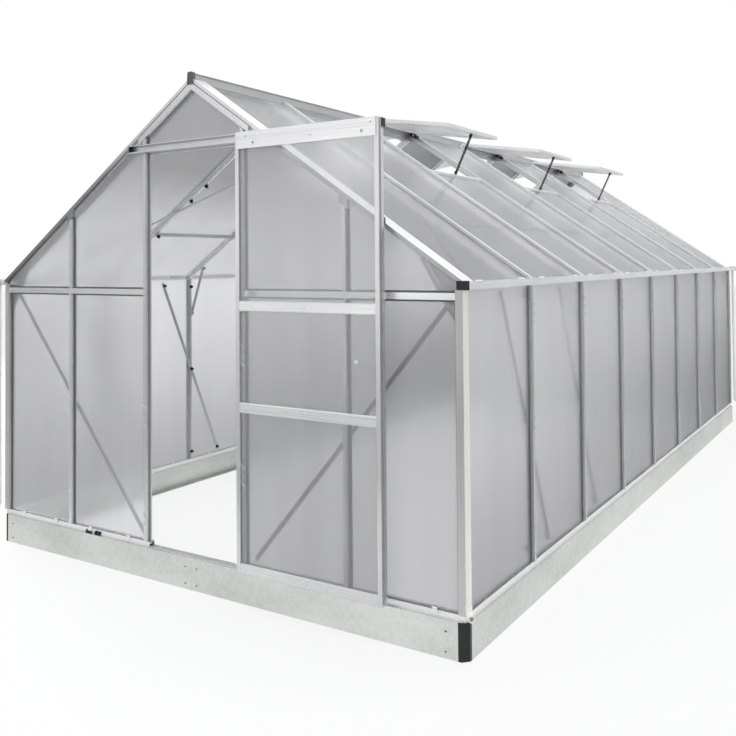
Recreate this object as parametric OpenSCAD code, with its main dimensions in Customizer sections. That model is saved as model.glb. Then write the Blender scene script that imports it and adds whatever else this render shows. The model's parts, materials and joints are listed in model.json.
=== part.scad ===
// Polycarbonate greenhouse on a galvanised base frame.
// Front gable faces -Y, +X is to the right of the front, +Z is up, sizes in millimetres.

/* [Footprint] */
// Width over the base frame
base_w = 2500; // [1900:10:3100]
// Length over the base frame
base_l = 4810; // [3000:10:6400]
// Number of bays along each side
bays = 8; // [6:1:10]

/* [Base frame] */
// Height of the galvanised base channel
base_h = 128; // [90:1:200]
// Sheet thickness of the base channel
base_t = 2; // [1.5:0.5:4]
// Depth of the base channel's flanges
base_flange = 46; // [44:1:80]
// Gap between two lengths of base channel
base_seam = 0.5; // [0.2:0.1:0.9]
// Reach of the plastic cap along each face of a base corner
corner_cap_leg = 34; // [28:1:42]
// Width of the cap's bevel along each face of a base corner
corner_cap_bevel = 22; // [10:1:24]
// Wall of the plastic cap on a base corner
corner_cap_t = 4; // [2:0.5:8]
// Length of the plate behind a base seam
joiner_l = 90; // [40:5:200]

/* [Heights] */
// Underside of the eave gutter above the ground
eave_h = 1231; // [1000:1:1600]
// Top of the ridge above the ground
ridge_h = 2113; // [1900:1:2500]
// How far the ridge stands above the roof panels beside it
ridge_upstand = 41; // [32:1:50]
// How far the roof panels start above the gutter's underside
eave_rise = 15; // [12:1:24]

/* [Glazing] */
// Thickness of a polycarbonate panel
panel_t = 6; // [4:0.5:10]
// Depth of the panels behind the face of the base
panel_inset = 16; // [14:1:24]
// Clearance between a panel's edge and the stem of a bar
panel_clear = 1.5; // [0.5:0.5:4]
// Clearance where two pieces butt
fit = 0.3; // [0.1:0.1:0.6]

/* [Glazing bars] */
// Width of a bar's outer cap
cap_w = 16; // [12:1:30]
// Width of the outer cap on the eave rails
rail_cap_w = 24; // [16:1:34]
// Thickness of a bar's outer cap
cap_t = 3; // [2:0.5:4]
// Height of the caps above the panels
cap_rise = 12; // [8:1:13]
// Thickness of the lips from a cap's edges down to the panels
cap_lip_t = 2; // [1:0.5:3]
// Thickness of a bar's stem
stem_t = 3; // [2:0.5:5]
// Width of the flange behind the panels
flange_w = 38; // [26:1:50]
// Thickness of the flange behind the panels
flange_t = 2; // [1.5:0.5:4]
// Width of the fin inside the flange
fin_w = 12; // [8:1:20]
// Depth of the fin inside the flange
fin_d = 14; // [8:1:20]
// Wall of the square tube in the corner posts and verges
core_t = 2.5; // [1.5:0.5:4]
// Reach of a corner post's outer leg from the base's face
post_leg = 34; // [28:1:60]
// Reach of the verge's top leg over the roof
verge_top_leg = 50; // [40:1:90]
// Reach of the verge's front leg below the roof face
verge_front_leg = 46; // [38:1:70]
// Height of the bead along a verge's upper edge
verge_bead = 12; // [6:1:18]
// Height of the groove below a verge's bead
verge_groove_h = 5; // [2:0.5:8]
// Depth of the groove below a verge's bead
verge_groove_d = 1.5; // [0.5:0.5:1.5]
// Reach of the inner legs that carry the panels
inner_leg = 44; // [40:1:70]

/* [Sills] */
// Height of the sill rail
sill_h = 22; // [18:1:40]
// Depth of the groove for the panels in the sill
sill_groove = 8; // [5:0.5:12]
// Clearance of a panel in the sill's groove
groove_clear = 1; // [0.5:0.5:2]
// Sheet thickness of the sill
sill_t = 2.5; // [1.5:0.5:4]
// Step of the sill's face behind the bars' caps
sill_step = 6; // [3:1:9]
// How far the sill reaches in past the bars' fins
sill_over = 2; // [1:0.5:6]
// Thickness of the plate in the doorway
threshold_t = 4; // [2:0.5:10]
// Number of grooves along the plate in the doorway
threshold_grooves = 4; // [0:1:6]
// Depth of the grooves along the plate in the doorway
threshold_groove_d = 1.5; // [0.5:0.5:1.5]

/* [Gable] */
// Distance of the door posts from the centre
door_post_x = 275; // [240:1:400]
// Drop of the gables' eave rails below the gutter
eave_rail_drop = 25; // [20:1:60]

/* [Gutter and pipes] */
// Reach of the gutter beyond the face of the base
gutter_out = 35; // [30:1:60]
// Height of the gutter's outer wall
gutter_wall = 27; // [20:1:40]
// Sheet thickness of the gutter
gutter_t = 2; // [1.5:0.5:4]
// Distance of the gutter's inner wall behind the face of the base
gutter_in = 8; // [6:1:12]
// How far the gutter runs past the gables
gutter_over = 28; // [26:1:60]
// Thickness of the gutter's end cap
gutter_cap_t = 4; // [2:0.5:8]
// Width of the rim round the recess in the gutter's end cap
gutter_cap_rim = 6; // [3:0.5:10]
// Depth of the recess in the gutter's end cap
gutter_cap_recess = 1.5; // [0.5:0.5:1.5]
// How far the roof panels reach over the gutter
drip = 14; // [10:1:24]
// Outside diameter of a downpipe
pipe_d = 20; // [14:1:26]
// Wall of a downpipe
pipe_t = 1.5; // [1:0.5:3]
// Distance of a downpipe's middle from the base's faces
pipe_off = 15; // [14:1:26]
// Bend radius of the elbow
elbow_r = 22; // [16:1:40]
// Height of the elbow's mouth above the ground
elbow_z = 165; // [120:1:300]
// Straight length at the elbow's mouth
spout_l = 6; // [2:1:30]
// Turn of the elbow from the side towards the gable, in degrees
elbow_turn = 45; // [0:5:90]
// Height of the lower pipe collar above the ground
collar_low = 321; // [250:1:500]
// Drop of the upper pipe collar below the gutter
collar_drop = 197; // [100:1:400]
// Length of a pipe collar
collar_l = 10; // [5:1:30]
// How far a pipe collar stands proud
collar_t = 1.5; // [0.5:0.5:4]

/* [Ridge] */
// Width of the ridge beam
ridge_w = 22; // [16:1:32]
// Depth of the ridge beam
ridge_d = 78; // [74:1:120]
// Wall of the ridge beam
ridge_t = 2.5; // [1.5:0.5:5]
// Width of the drip lip beside the ridge's top
ridge_lip = 5; // [3:1:10]
// Thickness of the end caps in front of the verges
ridge_cap_t = 4; // [2:0.5:10]
// Depth of the end caps over the verges
ridge_cap_d = 18; // [12:1:30]
// Height of the ridge's end caps
ridge_cap_h = 52; // [44:1:64]
// Width of the end caps at their foot
ridge_cap_w = 34; // [30:1:50]
// Radius of the end caps at the top
ridge_cap_r = 6; // [2:0.5:10]

/* [Vents] */
// Length of a roof vent from its hinge to its free edge
vent_l = 552; // [400:1:600]
// Thickness of a vent frame
vent_t = 18; // [14:1:24]
// Width of a vent frame's bars
vent_bar_w = 26; // [18:1:40]
// Fall of the open vents below level, in degrees
vent_fall = 8.6; // [4:0.1:16]
// How far a closed vent laps over its sill
vent_lap = 43; // [30:1:80]
// Drop of the vent hinges below the ridge's top
hinge_drop = 13; // [10:1:20]
// Width of the vent sill bar up the slope
vent_sill_w = 16; // [12:1:30]
// Reach of the vent sill's lip over the short roof panel
vent_sill_lip = 8; // [4:1:20]
// Width of the ledge under a vent's panel
vent_ledge = 8; // [4:1:14]
// Height of the vent sill above the roof panels
vent_sill_rise = 8; // [4:0.5:10]
// Clearance between the raised vent sill and the bars beside it
vent_sill_clear = 1; // [0.5:0.5:3]
// Clearance between a vent and the caps beside it
vent_gap = 2.5; // [1:0.5:8]
// Width of a vent stay
stay_w = 12; // [8:1:20]
// Thickness of a vent stay
stay_t = 4; // [2:0.5:8]

/* [Door] */
// Width of the door leaf
door_w = 661; // [600:1:800]
// Lower edge of the door leaf above the ground
door_z = 138; // [130:1:170]
// Drop of the door's top edge below the roof line over the door posts
door_drop = 63; // [50:1:120]
// Gap between the open door leaf and the door post's cap
door_park = 6; // [2:1:30]
// Depth of the door leaf
door_d = 18; // [16:1:28]
// Width of a door stile
stile_w = 18; // [14:1:40]
// Depth of a door stile below the track
stile_d = 34; // [30:1:40]
// Thickness of a stile's front flange
stile_lip = 4; // [2:0.5:6]
// Width of the slot in a stile's outer side
stile_slot_w = 12; // [6:1:14]
// Depth of the slot in a stile's outer side
stile_slot_d = 7; // [3:0.5:7]
// Wall of a stile's hollow back
stile_wall = 2.5; // [1.5:0.5:4]
// Height of the middle and bottom door rails
door_rail_h = 40; // [30:1:60]
// Height of the upper middle rail's centre
door_rail_upper = 1160; // [1000:1:1300]
// Height of the lower middle rail's centre
door_rail_lower = 770; // [600:1:900]
// Depth of the groove for the panels in a stile
stile_groove = 8; // [5:0.5:12]
// Thickness of a door rail's face
rail_face_t = 6; // [4:0.5:8]
// Bevel along the edges of a door rail's face
rail_bevel = 4; // [1:0.5:4]
// Height of a door rail's web between two panels
rail_web_h = 10; // [6:1:20]
// Height of a door rail's back strip
rail_back_h = 24; // [16:1:36]
// Height of the door's top rail behind the plate
door_top_rail_h = 44; // [36:1:50]
// Height of the plate over the door's top
door_plate_h = 66; // [50:1:90]
// Thickness of the plate over the door's top
door_plate_t = 4; // [2:0.5:8]
// Drop of the first groove below the plate's top
plate_groove_drop = 20; // [10:1:26]
// Distance between the two grooves in the plate
plate_groove_pitch = 9; // [6:1:14]
// Height of a groove in the plate
plate_groove_h = 3; // [1:0.5:5]
// Depth of a groove in the plate
plate_groove_d = 1.5; // [0.5:0.5:1.5]
// Distance of the door rollers from the leaf's edges
roller_in = 70; // [40:1:160]
// Diameter of a door roller
roller_d = 18; // [14:1:19]
// Width of a door roller
roller_w = 8; // [6:1:9]
// Diameter of a roller's axle
axle_d = 6; // [4:1:8]

/* [Door track] */
// Height of the track
track_h = 32; // [30:1:44]
// Depth of the track
track_d = 27; // [27:1:36]
// Sheet thickness of the track
track_t = 3; // [2:0.5:4]
// Gap between the track and the door leaf
track_gap = 7; // [5:1:20]
// How far the track runs past the closed leaf, and stops short of the open one
track_over = 6; // [2:1:40]
// Thickness of the track's end caps
track_cap_t = 3; // [2:0.5:8]
// Height of the bead that keeps the rollers in
track_bead = 1; // [0.5:0.5:2]

/* [Braces] */
// Width of the flat braces
brace_w = 18; // [10:1:30]
// Thickness of the flat braces
brace_t = 3; // [2:0.5:6]
// Half the run of a wall brace along the wall
brace_run = 225; // [120:5:260]
// Distance of the purlins up the slope from the eave
purlin_up = 478; // [300:1:700]
// Width of the purlins
purlin_w = 14; // [10:1:30]
// Drop of the knee braces' feet below the gutter
knee_drop = 217; // [120:1:400]
// Distance of the knee braces' heads behind the wall's face
knee_in = 135; // [90:1:250]
// Drop of the corner gussets' lower tips below the gutter
gusset_drop = 110; // [70:1:180]
// Reach of the corner gussets along the rafter, from the corner
gusset_reach = 145; // [90:1:200]

/* [Hidden] */
$fn = 48;
cut = 1;
far = 4 * (base_w + base_l);
half_w = base_w / 2;
bay = base_l / bays;
gable_bar_x = (door_post_x + half_w) / 2;
eave_rail_z = eave_h - eave_rail_drop;
bevel_back = corner_cap_bevel + corner_cap_t * tan(22.5);

// Depths behind the face of a wall, a roof slope or the base
cap_in = panel_inset - cap_rise;
cap_back = cap_in + cap_t;
lip_in = panel_inset - fit;
seat_in = panel_inset + panel_t;
flange_in = seat_in + flange_t;
fin_in = flange_in + fin_d;
panel_edge = stem_t / 2 + panel_clear;
core_edge = flange_in + panel_clear;
brace_in = fin_in + brace_t;
knee_seat = flange_in + fin_d * 3 / 4;
gusset_x = half_w - core_edge;
gusset_z = eave_h - panel_clear;
gusset_tip = [gusset_x, gusset_z - gusset_drop];
gusset_n = panel_inset - flange_in - fit;
roof_brace_end = 4 * brace_w;

// Sill section
sill_out = cap_in + sill_step;
sill_in = fin_in + sill_over;
sill_top = base_h + sill_h;
groove_z = sill_top - sill_groove;

// Roof line, measured on the outer face of the roof panels
ridge_half = ridge_w / 2;
eave_x = half_w - gutter_in;
eave_z = eave_h + eave_rise;
ridge_line_z = ridge_h - ridge_upstand;
pitch = atan((ridge_line_z - eave_z) / (eave_x - ridge_half));
apex_z = ridge_line_z + ridge_half * tan(pitch);
slope_l = half_w / cos(pitch);
plate_z = eave_h + gutter_t;
gutter_lip_z = eave_h + eave_rise / 3;
rake_panel_n = panel_inset - core_edge;

// Vents
hinge_z = ridge_h - hinge_drop;
hinge_x = ridge_half + fit + vent_t * sin(vent_fall);
vent_bays = [for (k = [2 : 2 : bays - 2]) k];
vent_side = cap_w / 2 + vent_gap;
vent_w = bay - 2 * vent_side;
vent_sill_u = hinge_x / cos(pitch) + vent_l - vent_lap;

// Door in plan: the leaf hangs in front of the track, which is fixed to the caps of the bars
track_back = cap_in;
track_front = track_back - track_d;
leaf_back = track_front - track_gap;
leaf_front = leaf_back - door_d;
plate_front = leaf_front - door_plate_t;
door_top = roof_z(door_post_x) - door_drop;
door_open_x = door_post_x + cap_w / 2 + door_park + door_w / 2;
track_x0 = -door_w / 2 - track_over;
track_x1 = door_open_x + door_w / 2 - track_over;
track_z0 = door_top - track_h;
header_z = track_z0 + rail_cap_w / 2;
roller_z = track_z0 + track_t + fit + roller_d / 2;
roller_y = (track_front + track_back - track_t) / 2;
door_panel_y = leaf_front + rail_face_t;
door_clear = door_w / 2 - stile_w - fit;

// Whole depth, so that the origin lies under the middle of the part
front_reach = -plate_front;
spout_side = (elbow_r + spout_l) * sin(elbow_turn) + (pipe_d / 2 + collar_t) * cos(elbow_turn);
rear_reach = max(gutter_over + gutter_cap_t, pipe_off + max(spout_side, pipe_d / 2 + collar_t));
site_y = (front_reach - rear_reach - base_l) / 2;

// Height of the roof line at a distance from the centre, and n above it at right angles
function roof_z(x, n = 0) = apex_z - x * tan(pitch) + n / cos(pitch);

// Placing: the building is drawn with its front at y = 0 and then moved over the origin
module site() translate([0, site_y, 0]) children();

module both_sides() {
    children();
    mirror([1, 0, 0]) children();
}

module at_rear() translate([0, base_l, 0]) mirror([0, 1, 0]) children();

module both_ends() {
    children();
    at_rear() children();
}

// Extrusion along X of a profile drawn in (y, z)
module along_x(x0, x1) translate([x0, 0, 0]) rotate([90, 0, 90]) linear_extrude(x1 - x0) children();

// Extrusion along Y of a profile drawn in (x, z)
module along_y(y0, y1) translate([0, y1, 0]) rotate([90, 0, 0]) linear_extrude(y1 - y0) children();

// Frame of the right roof slope: x runs down the slope, z is square to the panels' outer face
module on_slope() translate([0, 0, apex_z]) rotate([0, pitch, 0]) children();

// Extrusion down the slope of a profile drawn in (y, depth behind the roof face)
module down_slope(u0, u1)
    on_slope() translate([u0, 0, panel_inset]) mirror([0, 0, 1])
        rotate([90, 0, 90]) linear_extrude(u1 - u0) children();

// Profiles
module bar_profile(cap = cap_w) {
    lip = cap / 2 - cap_lip_t;
    half = [[cap / 2, cap_in], [cap / 2, lip_in], [lip, lip_in], [lip, cap_back], [stem_t / 2, cap_back],
        [stem_t / 2, seat_in], [flange_w / 2, seat_in], [flange_w / 2, flange_in],
        [fin_w / 2, flange_in], [fin_w / 2, fin_in]];
    last = len(half) - 1;
    polygon(concat(half, [for (i = [0 : last]) [-half[last - i][0], half[last - i][1]]]));
}

// Corner section in depths behind two faces: a square tube with inner legs, and outer legs that end in lips
module corner_profile(outer_a, outer_b, inner_a, inner_b) {
    difference() {
        translate([cap_in, cap_in]) square(flange_in - cap_in);
        translate([cap_in + cap_t, cap_in + cap_t]) square(flange_in - cap_in - cap_t - core_t);
    }
    translate([cap_in, cap_in]) square([outer_a - cap_in, cap_t]);
    translate([cap_in, cap_in]) square([cap_t, outer_b - cap_in]);
    translate([outer_a - cap_lip_t, cap_in]) square([cap_lip_t, lip_in - cap_in]);
    translate([cap_in, outer_b - cap_lip_t]) square([lip_in - cap_in, cap_lip_t]);
    translate([flange_in - flange_t, seat_in]) square([inner_a - flange_in + flange_t, flange_t]);
    translate([seat_in, flange_in - flange_t]) square([flange_t, inner_b - flange_in + flange_t]);
}

module base_profile() {
    square([base_t, base_h]);
    square([base_flange, base_t]);
    translate([0, base_h - base_t]) square([base_flange, base_t]);
}

module sill_profile() {
    g0 = panel_inset - groove_clear;
    g1 = seat_in + groove_clear;
    polygon([[sill_out, base_h], [sill_out, sill_top], [g0, sill_top], [g0, groove_z], [g1, groove_z],
        [g1, sill_top], [sill_in, sill_top], [sill_in, base_h], [sill_in - sill_t, base_h],
        [sill_in - sill_t, sill_top - sill_t], [g1 + sill_t, sill_top - sill_t],
        [g1 + sill_t, groove_z - sill_t], [sill_out + sill_t, groove_z - sill_t],
        [sill_out + sill_t, base_h]]);
}

// Plan wedges that mitre the base and the sills at the corners
module end_wedge()
    linear_extrude(sill_top + cut)
        polygon([[-half_w + fit, 0], [half_w - fit, 0], [0, half_w - fit]]);

module side_wedge()
    linear_extrude(sill_top + cut)
        polygon([[half_w, fit], [half_w, base_l - fit], [half_w - base_l / 2, base_l / 2]]);

// Plan of the plastic cap on a base corner, in depths behind the two faces
module corner_cap_plan()
    polygon([[corner_cap_leg, 0], [corner_cap_bevel, 0], [0, corner_cap_bevel], [0, corner_cap_leg],
        [corner_cap_t, corner_cap_leg], [corner_cap_t, bevel_back], [bevel_back, corner_cap_t],
        [corner_cap_leg, corner_cap_t]]);

// Room left in the base for the cap, which reaches out past the corner
module corner_cap_room() {
    leg = corner_cap_leg + fit;
    wall = corner_cap_t + fit;
    both_sides() translate([half_w, 0, -cut]) mirror([1, 0, 0]) linear_extrude(base_h + 2 * cut)
        polygon([[-cut, -cut], [leg, -cut], [leg, wall], [bevel_back + fit, wall],
            [wall, bevel_back + fit], [wall, leg], [-cut, leg]]);
}

// One end of the base, drawn at the front
module base_end() {
    difference() {
        intersection() {
            along_x(-half_w, half_w) base_profile();
            end_wedge();
        }
        corner_cap_room();
        translate([-base_seam / 2, -cut, -cut])
            cube([base_seam, base_flange + 2 * cut, base_h + 2 * cut]);
    }
}

// One side of the base, drawn on the right
module base_side() {
    difference() {
        intersection() {
            along_y(0, base_l) translate([half_w, 0]) mirror([1, 0]) base_profile();
            side_wedge();
        }
        both_ends() corner_cap_room();
        for (k = base_seam_bays())
            translate([half_w - base_flange - cut, k * bay - base_seam / 2, -cut])
                cube([base_flange + 2 * cut, base_seam, base_h + 2 * cut]);
    }
}

function base_seam_bays() = [ceil(bays / 2) - 1, ceil(bays / 2) + 1];

module base_front() color([0.75, 0.78, 0.75]) site() base_end();

module base_rear() color([0.75, 0.78, 0.75]) site() at_rear() base_end();

module base_left() color([0.75, 0.78, 0.75]) site() mirror([1, 0, 0]) base_side();

module base_right() color([0.75, 0.78, 0.75]) site() base_side();

module base_corner_caps() color([0.1, 0.1, 0.1]) site()
    both_ends() both_sides()
        translate([half_w, 0, 0]) mirror([1, 0, 0]) linear_extrude(base_h) corner_cap_plan();

module joiner_plate() {
    joiner_h = base_h - 4 * base_t;
    translate([-joiner_l / 2, base_t, 2 * base_t]) cube([joiner_l, base_t, joiner_h]);
}

module base_joiners() color([0.7, 0.73, 0.7]) site() {
    both_ends() joiner_plate();
    both_sides() for (k = base_seam_bays())
        translate([half_w, k * bay, 0]) rotate([0, 0, 90]) joiner_plate();
}

// Sills under the walls; the front one is open at the doorway
module end_sills() color([0.9, 0.9, 0.9]) site() {
    both_sides() intersection() {
        along_x(door_post_x - flange_w / 2, half_w) sill_profile();
        end_wedge();
    }
    at_rear() intersection() {
        along_x(-half_w, half_w) sill_profile();
        end_wedge();
    }
}

module side_sills() color([0.9, 0.9, 0.9]) site()
    both_sides() intersection() {
        along_y(0, base_l) translate([half_w, 0]) mirror([1, 0]) sill_profile();
        side_wedge();
    }

module threshold() color([0.85, 0.86, 0.86]) site() {
    threshold_half = door_post_x - flange_w / 2 - fit;
    strip = (sill_in - sill_out) / (2 * threshold_grooves + 1);
    along_x(-threshold_half, threshold_half) translate([sill_out, base_h]) difference() {
        square([sill_in - sill_out, threshold_t]);
        for (i = [1 : threshold_grooves])
            translate([(2 * i - 1) * strip, threshold_t - threshold_groove_d])
                square([strip, threshold_groove_d + cut]);
    }
}

// Posts and bars of the walls
module corner_posts() color([0.88, 0.88, 0.88]) site()
    both_ends() both_sides()
        translate([half_w, 0, sill_top]) mirror([1, 0, 0]) linear_extrude(eave_h - sill_top)
            corner_profile(post_leg, post_leg, inner_leg, inner_leg);

module wall_bars() color([0.88, 0.88, 0.88]) site()
    both_sides() for (k = [1 : bays - 1])
        translate([half_w, k * bay, sill_top]) rotate([0, 0, 90])
            linear_extrude(eave_h - sill_top) bar_profile();

// Eave gutter: a trough outside, and a plate over the wall inside
module gutter_right() {
    along_y(-gutter_over, base_l + gutter_over) {
        translate([eave_x, eave_h]) square([gutter_in + gutter_out, gutter_t]);
        translate([eave_x, eave_h]) square([gutter_t, gutter_lip_z - eave_h]);
        translate([half_w + gutter_out - gutter_t, eave_h]) square([gutter_t, gutter_wall]);
        translate([half_w + gutter_out - 2 * gutter_t, eave_h + gutter_wall - gutter_t])
            square([2 * gutter_t, gutter_t]);
    }
    along_y(core_edge, base_l - core_edge)
        translate([half_w - sill_in, eave_h]) square([sill_in - gutter_in + gutter_t, gutter_t]);
}

module gutters() color([0.92, 0.92, 0.92]) site() both_sides() gutter_right();

module gutter_end_caps() color([0.08, 0.08, 0.08]) site()
    both_ends() both_sides() {
        face = -gutter_over - gutter_cap_t;
        w = gutter_in + gutter_out + 2 * gutter_t;
        h = gutter_wall + 2 * gutter_t;
        translate([eave_x - gutter_t, 0, eave_h - gutter_t]) difference() {
            along_y(face, -gutter_over) square([w, h]);
            along_y(face - cut, face + gutter_cap_recess) translate([gutter_cap_rim, gutter_cap_rim])
                square([w - 2 * gutter_cap_rim, h - 2 * gutter_cap_rim]);
        }
    }

// Downpipe under each gutter end, with collars and a wider elbow that points away from the corner
module downpipe() {
    bend_z = elbow_z + elbow_r;
    module ring(r_out) difference() {
        circle(r_out);
        circle(pipe_d / 2 - pipe_t);
    }
    translate([half_w + pipe_off, -pipe_off, 0]) rotate([0, 0, -elbow_turn]) {
        translate([0, 0, bend_z]) linear_extrude(eave_h - bend_z) ring(pipe_d / 2);
        for (z = [bend_z, collar_low, eave_h - collar_drop])
            translate([0, 0, z]) linear_extrude(collar_l) ring(pipe_d / 2 + collar_t);
        translate([elbow_r, 0, bend_z]) rotate([90, 0, 0]) rotate([0, 0, 180])
            rotate_extrude(angle = 90) translate([elbow_r, 0]) ring(pipe_d / 2 + collar_t);
        translate([elbow_r, 0, elbow_z]) rotate([0, 90, 0])
            linear_extrude(spout_l) ring(pipe_d / 2 + collar_t);
    }
}

module downpipes() color([0.93, 0.92, 0.88]) site() both_ends() both_sides() downpipe();

// Ridge beam: a tall box with a narrow crown and drip lips over the vent hinges
module ridge_section() {
    crown = ridge_w / 5;
    low = ridge_h - ridge_d;
    difference() {
        polygon([[-ridge_half, low], [ridge_half, low], [ridge_half, ridge_h - crown],
            [ridge_half - crown, ridge_h], [crown - ridge_half, ridge_h], [-ridge_half, ridge_h - crown]]);
        translate([ridge_t - ridge_half, low + ridge_t])
            square([ridge_w - 2 * ridge_t, ridge_d - crown - 2 * ridge_t]);
    }
    for (side = [-1, 1])
        translate([side * (ridge_half + ridge_lip / 2 - ridge_t / 2), ridge_h - crown - ridge_t / 2])
            square([ridge_lip + ridge_t, ridge_t], center = true);
}

// Room under the ridge where the two verges of a gable meet, drawn at the front
module verge_room(depth)
    along_y(-cut, depth)
        polygon([[-half_w, 0], [half_w, 0], [half_w, roof_z(half_w, cap_rise + fit)],
            [0, roof_z(0, cap_rise + fit)], [-half_w, roof_z(half_w, cap_rise + fit)]]);

module ridge_beam() color([0.8, 0.8, 0.82]) site() difference() {
    along_y(ridge_cap_d, base_l - ridge_cap_d) ridge_section();
    both_ends() verge_room(verge_top_leg + fit);
}

// End cap: a plate in front of the verges' mitre, and a block over them at the ridge's end
module ridge_cap_outline() {
    top = ridge_h + ridge_t;
    top_half = ridge_half + ridge_t;
    shoulder = top - ridge_cap_r;
    foot = top - ridge_cap_h;
    polygon([[-ridge_cap_w / 2, foot], [ridge_cap_w / 2, foot],
        [top_half, shoulder], [-top_half, shoulder]]);
    translate([ridge_cap_r - top_half, shoulder]) square([2 * (top_half - ridge_cap_r), ridge_cap_r]);
    for (side = [-1, 1]) translate([side * (top_half - ridge_cap_r), shoulder]) circle(ridge_cap_r);
}

module ridge_end_caps() color([0.35, 0.36, 0.37]) site() both_ends() {
    along_y(0, ridge_cap_t) ridge_cap_outline();
    difference() {
        along_y(ridge_cap_t - fit, ridge_cap_d - fit) ridge_cap_outline();
        verge_room(ridge_cap_d);
    }
}

// Space that roof bars and panels fill, between the ridge and the eave
module roof_space(inner = ridge_half + fit) {
    along_y(-cut, base_l + cut)
        polygon([[inner, far], [inner, plate_z], [eave_x - fit, plate_z],
            [eave_x - fit, gutter_lip_z + fit], [eave_x + drip, gutter_lip_z + fit], [eave_x + drip, far]]);
}

module rafters() color([0.9, 0.9, 0.9]) site()
    both_sides() for (k = [1 : bays - 1]) intersection() {
        translate([0, k * bay, 0]) down_slope(0, slope_l + drip) bar_profile();
        roof_space();
    }

// Verge: the corner section laid along the roof's edge, mitred under the ridge
module verge() intersection() {
    down_slope(-verge_front_leg, slope_l + drip) difference() {
        corner_profile(verge_top_leg, verge_front_leg, inner_leg, inner_leg);
        translate([cap_in - cut, cap_in + verge_bead]) square([verge_groove_d + cut, verge_groove_h]);
    }
    roof_space(fit / 2);
}

module front_verges() color([0.95, 0.95, 0.95]) site() both_sides() verge();

module rear_verges() color([0.95, 0.95, 0.95]) site() at_rear() both_sides() verge();

// Upright gable bar from the sill to the verge's front leg
module gable_bar(x) {
    rake_n = panel_inset - max(verge_front_leg, inner_leg) - fit;
    intersection() {
        translate([x, 0, sill_top]) linear_extrude(ridge_h) bar_profile();
        along_y(0, fin_in)
            polygon([[0, 0], [half_w, 0], [half_w, roof_z(half_w, rake_n)], [0, roof_z(0, rake_n)]]);
    }
}

module front_gable_bars() color([0.88, 0.88, 0.88]) site() both_sides() gable_bar(gable_bar_x);

module door_posts() color([0.9, 0.9, 0.9]) site() both_sides() gable_bar(door_post_x);

module rear_gable_bars() color([0.88, 0.88, 0.88]) site()
    at_rear() both_sides() for (x = [gable_bar_x, door_post_x]) gable_bar(x);

// Level rail between two uprights: its cap reaches the caps, its flange the flanges
module gable_rail(z, cap0, cap1, flange0, flange1) {
    module section() translate([0, z]) mirror([1, -1]) bar_profile(rail_cap_w);
    module outside() translate([cap_in, 0]) square([seat_in - fit - cap_in, far]);
    module inside() translate([seat_in - 2 * fit, 0]) square([far, far]);
    along_x(cap0 + fit, cap1 - fit) intersection() {
        section();
        outside();
    }
    along_x(flange0 + fit, flange1 - fit) intersection() {
        section();
        inside();
    }
}

module outer_gable_rails() {
    gable_rail(eave_rail_z, gable_bar_x + cap_w / 2, half_w - post_leg,
        gable_bar_x + flange_w / 2, half_w - inner_leg);
    gable_rail(eave_rail_z, door_post_x + cap_w / 2, gable_bar_x - cap_w / 2,
        door_post_x + flange_w / 2, gable_bar_x - flange_w / 2);
}

module middle_rail(z)
    gable_rail(z, cap_w / 2 - door_post_x, door_post_x - cap_w / 2,
        flange_w / 2 - door_post_x, door_post_x - flange_w / 2);

module front_eave_rails() color([0.9, 0.9, 0.9]) site() both_sides() outer_gable_rails();

module rear_eave_rails() color([0.9, 0.9, 0.9]) site() at_rear() {
    both_sides() outer_gable_rails();
    middle_rail(eave_rail_z);
}

module door_header() color([0.88, 0.88, 0.88]) site() middle_rail(header_z);

// Door track: open to the front, with a low bead that keeps the rollers in
module door_track() color([0.82, 0.82, 0.83]) site()
    along_x(track_x0, track_x1) translate([track_front, track_z0]) {
        square([track_d, track_t]);
        square([track_t, track_t + track_bead]);
        translate([track_d - track_t, 0]) square([track_t, track_h]);
        translate([0, track_h - track_t]) square([track_d, track_t]);
    }

module door_track_caps() color([0.08, 0.08, 0.08]) site()
    for (x = [track_x0 - track_cap_t, track_x1])
        translate([x, track_front, track_z0]) cube([track_cap_t, track_d, track_h]);

// Flat bar between two points of the (x, y) plane, standing on z = 0
module flat_bar(from, to, thickness) {
    run = to - from;
    translate([from[0], from[1], 0]) rotate([0, 0, atan2(run[1], run[0])])
        translate([0, -brace_w / 2, 0]) cube([norm(run), brace_w, thickness]);
}

module purlins() color([0.75, 0.75, 0.76]) site()
    both_sides() on_slope()
        translate([slope_l - purlin_up, bay - fin_w, panel_inset - fin_in - purlin_w])
            cube([purlin_w, (bays - 2) * bay + 2 * fin_w, purlin_w]);

// Wall brace across an upright, leaning towards the middle of the building at its foot
module wall_brace(k, lean) {
    margin = brace_w;
    translate([half_w - fin_in, 0, 0]) rotate([0, -90, 0])
        flat_bar([sill_top + margin, k * bay + lean * brace_run],
            [eave_h - margin, k * bay - lean * brace_run], brace_t);
}

module wall_braces() color([0.55, 0.55, 0.56]) site()
    both_sides() {
        for (k = [1, 2]) wall_brace(k, 1);
        for (k = [bays - 1, bays - 2]) wall_brace(k, -1);
    }

// Corner gusset inside the gable, from the corner post up to the verge and clear of the gutter's plate,
// and the long brace from it to the foot of the door post
function gusset_head() = let (x = gusset_x - gusset_reach) [x, roof_z(x, gusset_n)];

module gusset() {
    plate_x = half_w - sill_in - panel_clear;
    along_y(fin_in, brace_in)
        polygon([gusset_tip, [gusset_x, gusset_z], [plate_x, gusset_z],
            [plate_x, roof_z(plate_x, gusset_n)], gusset_head()]);
}

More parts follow.
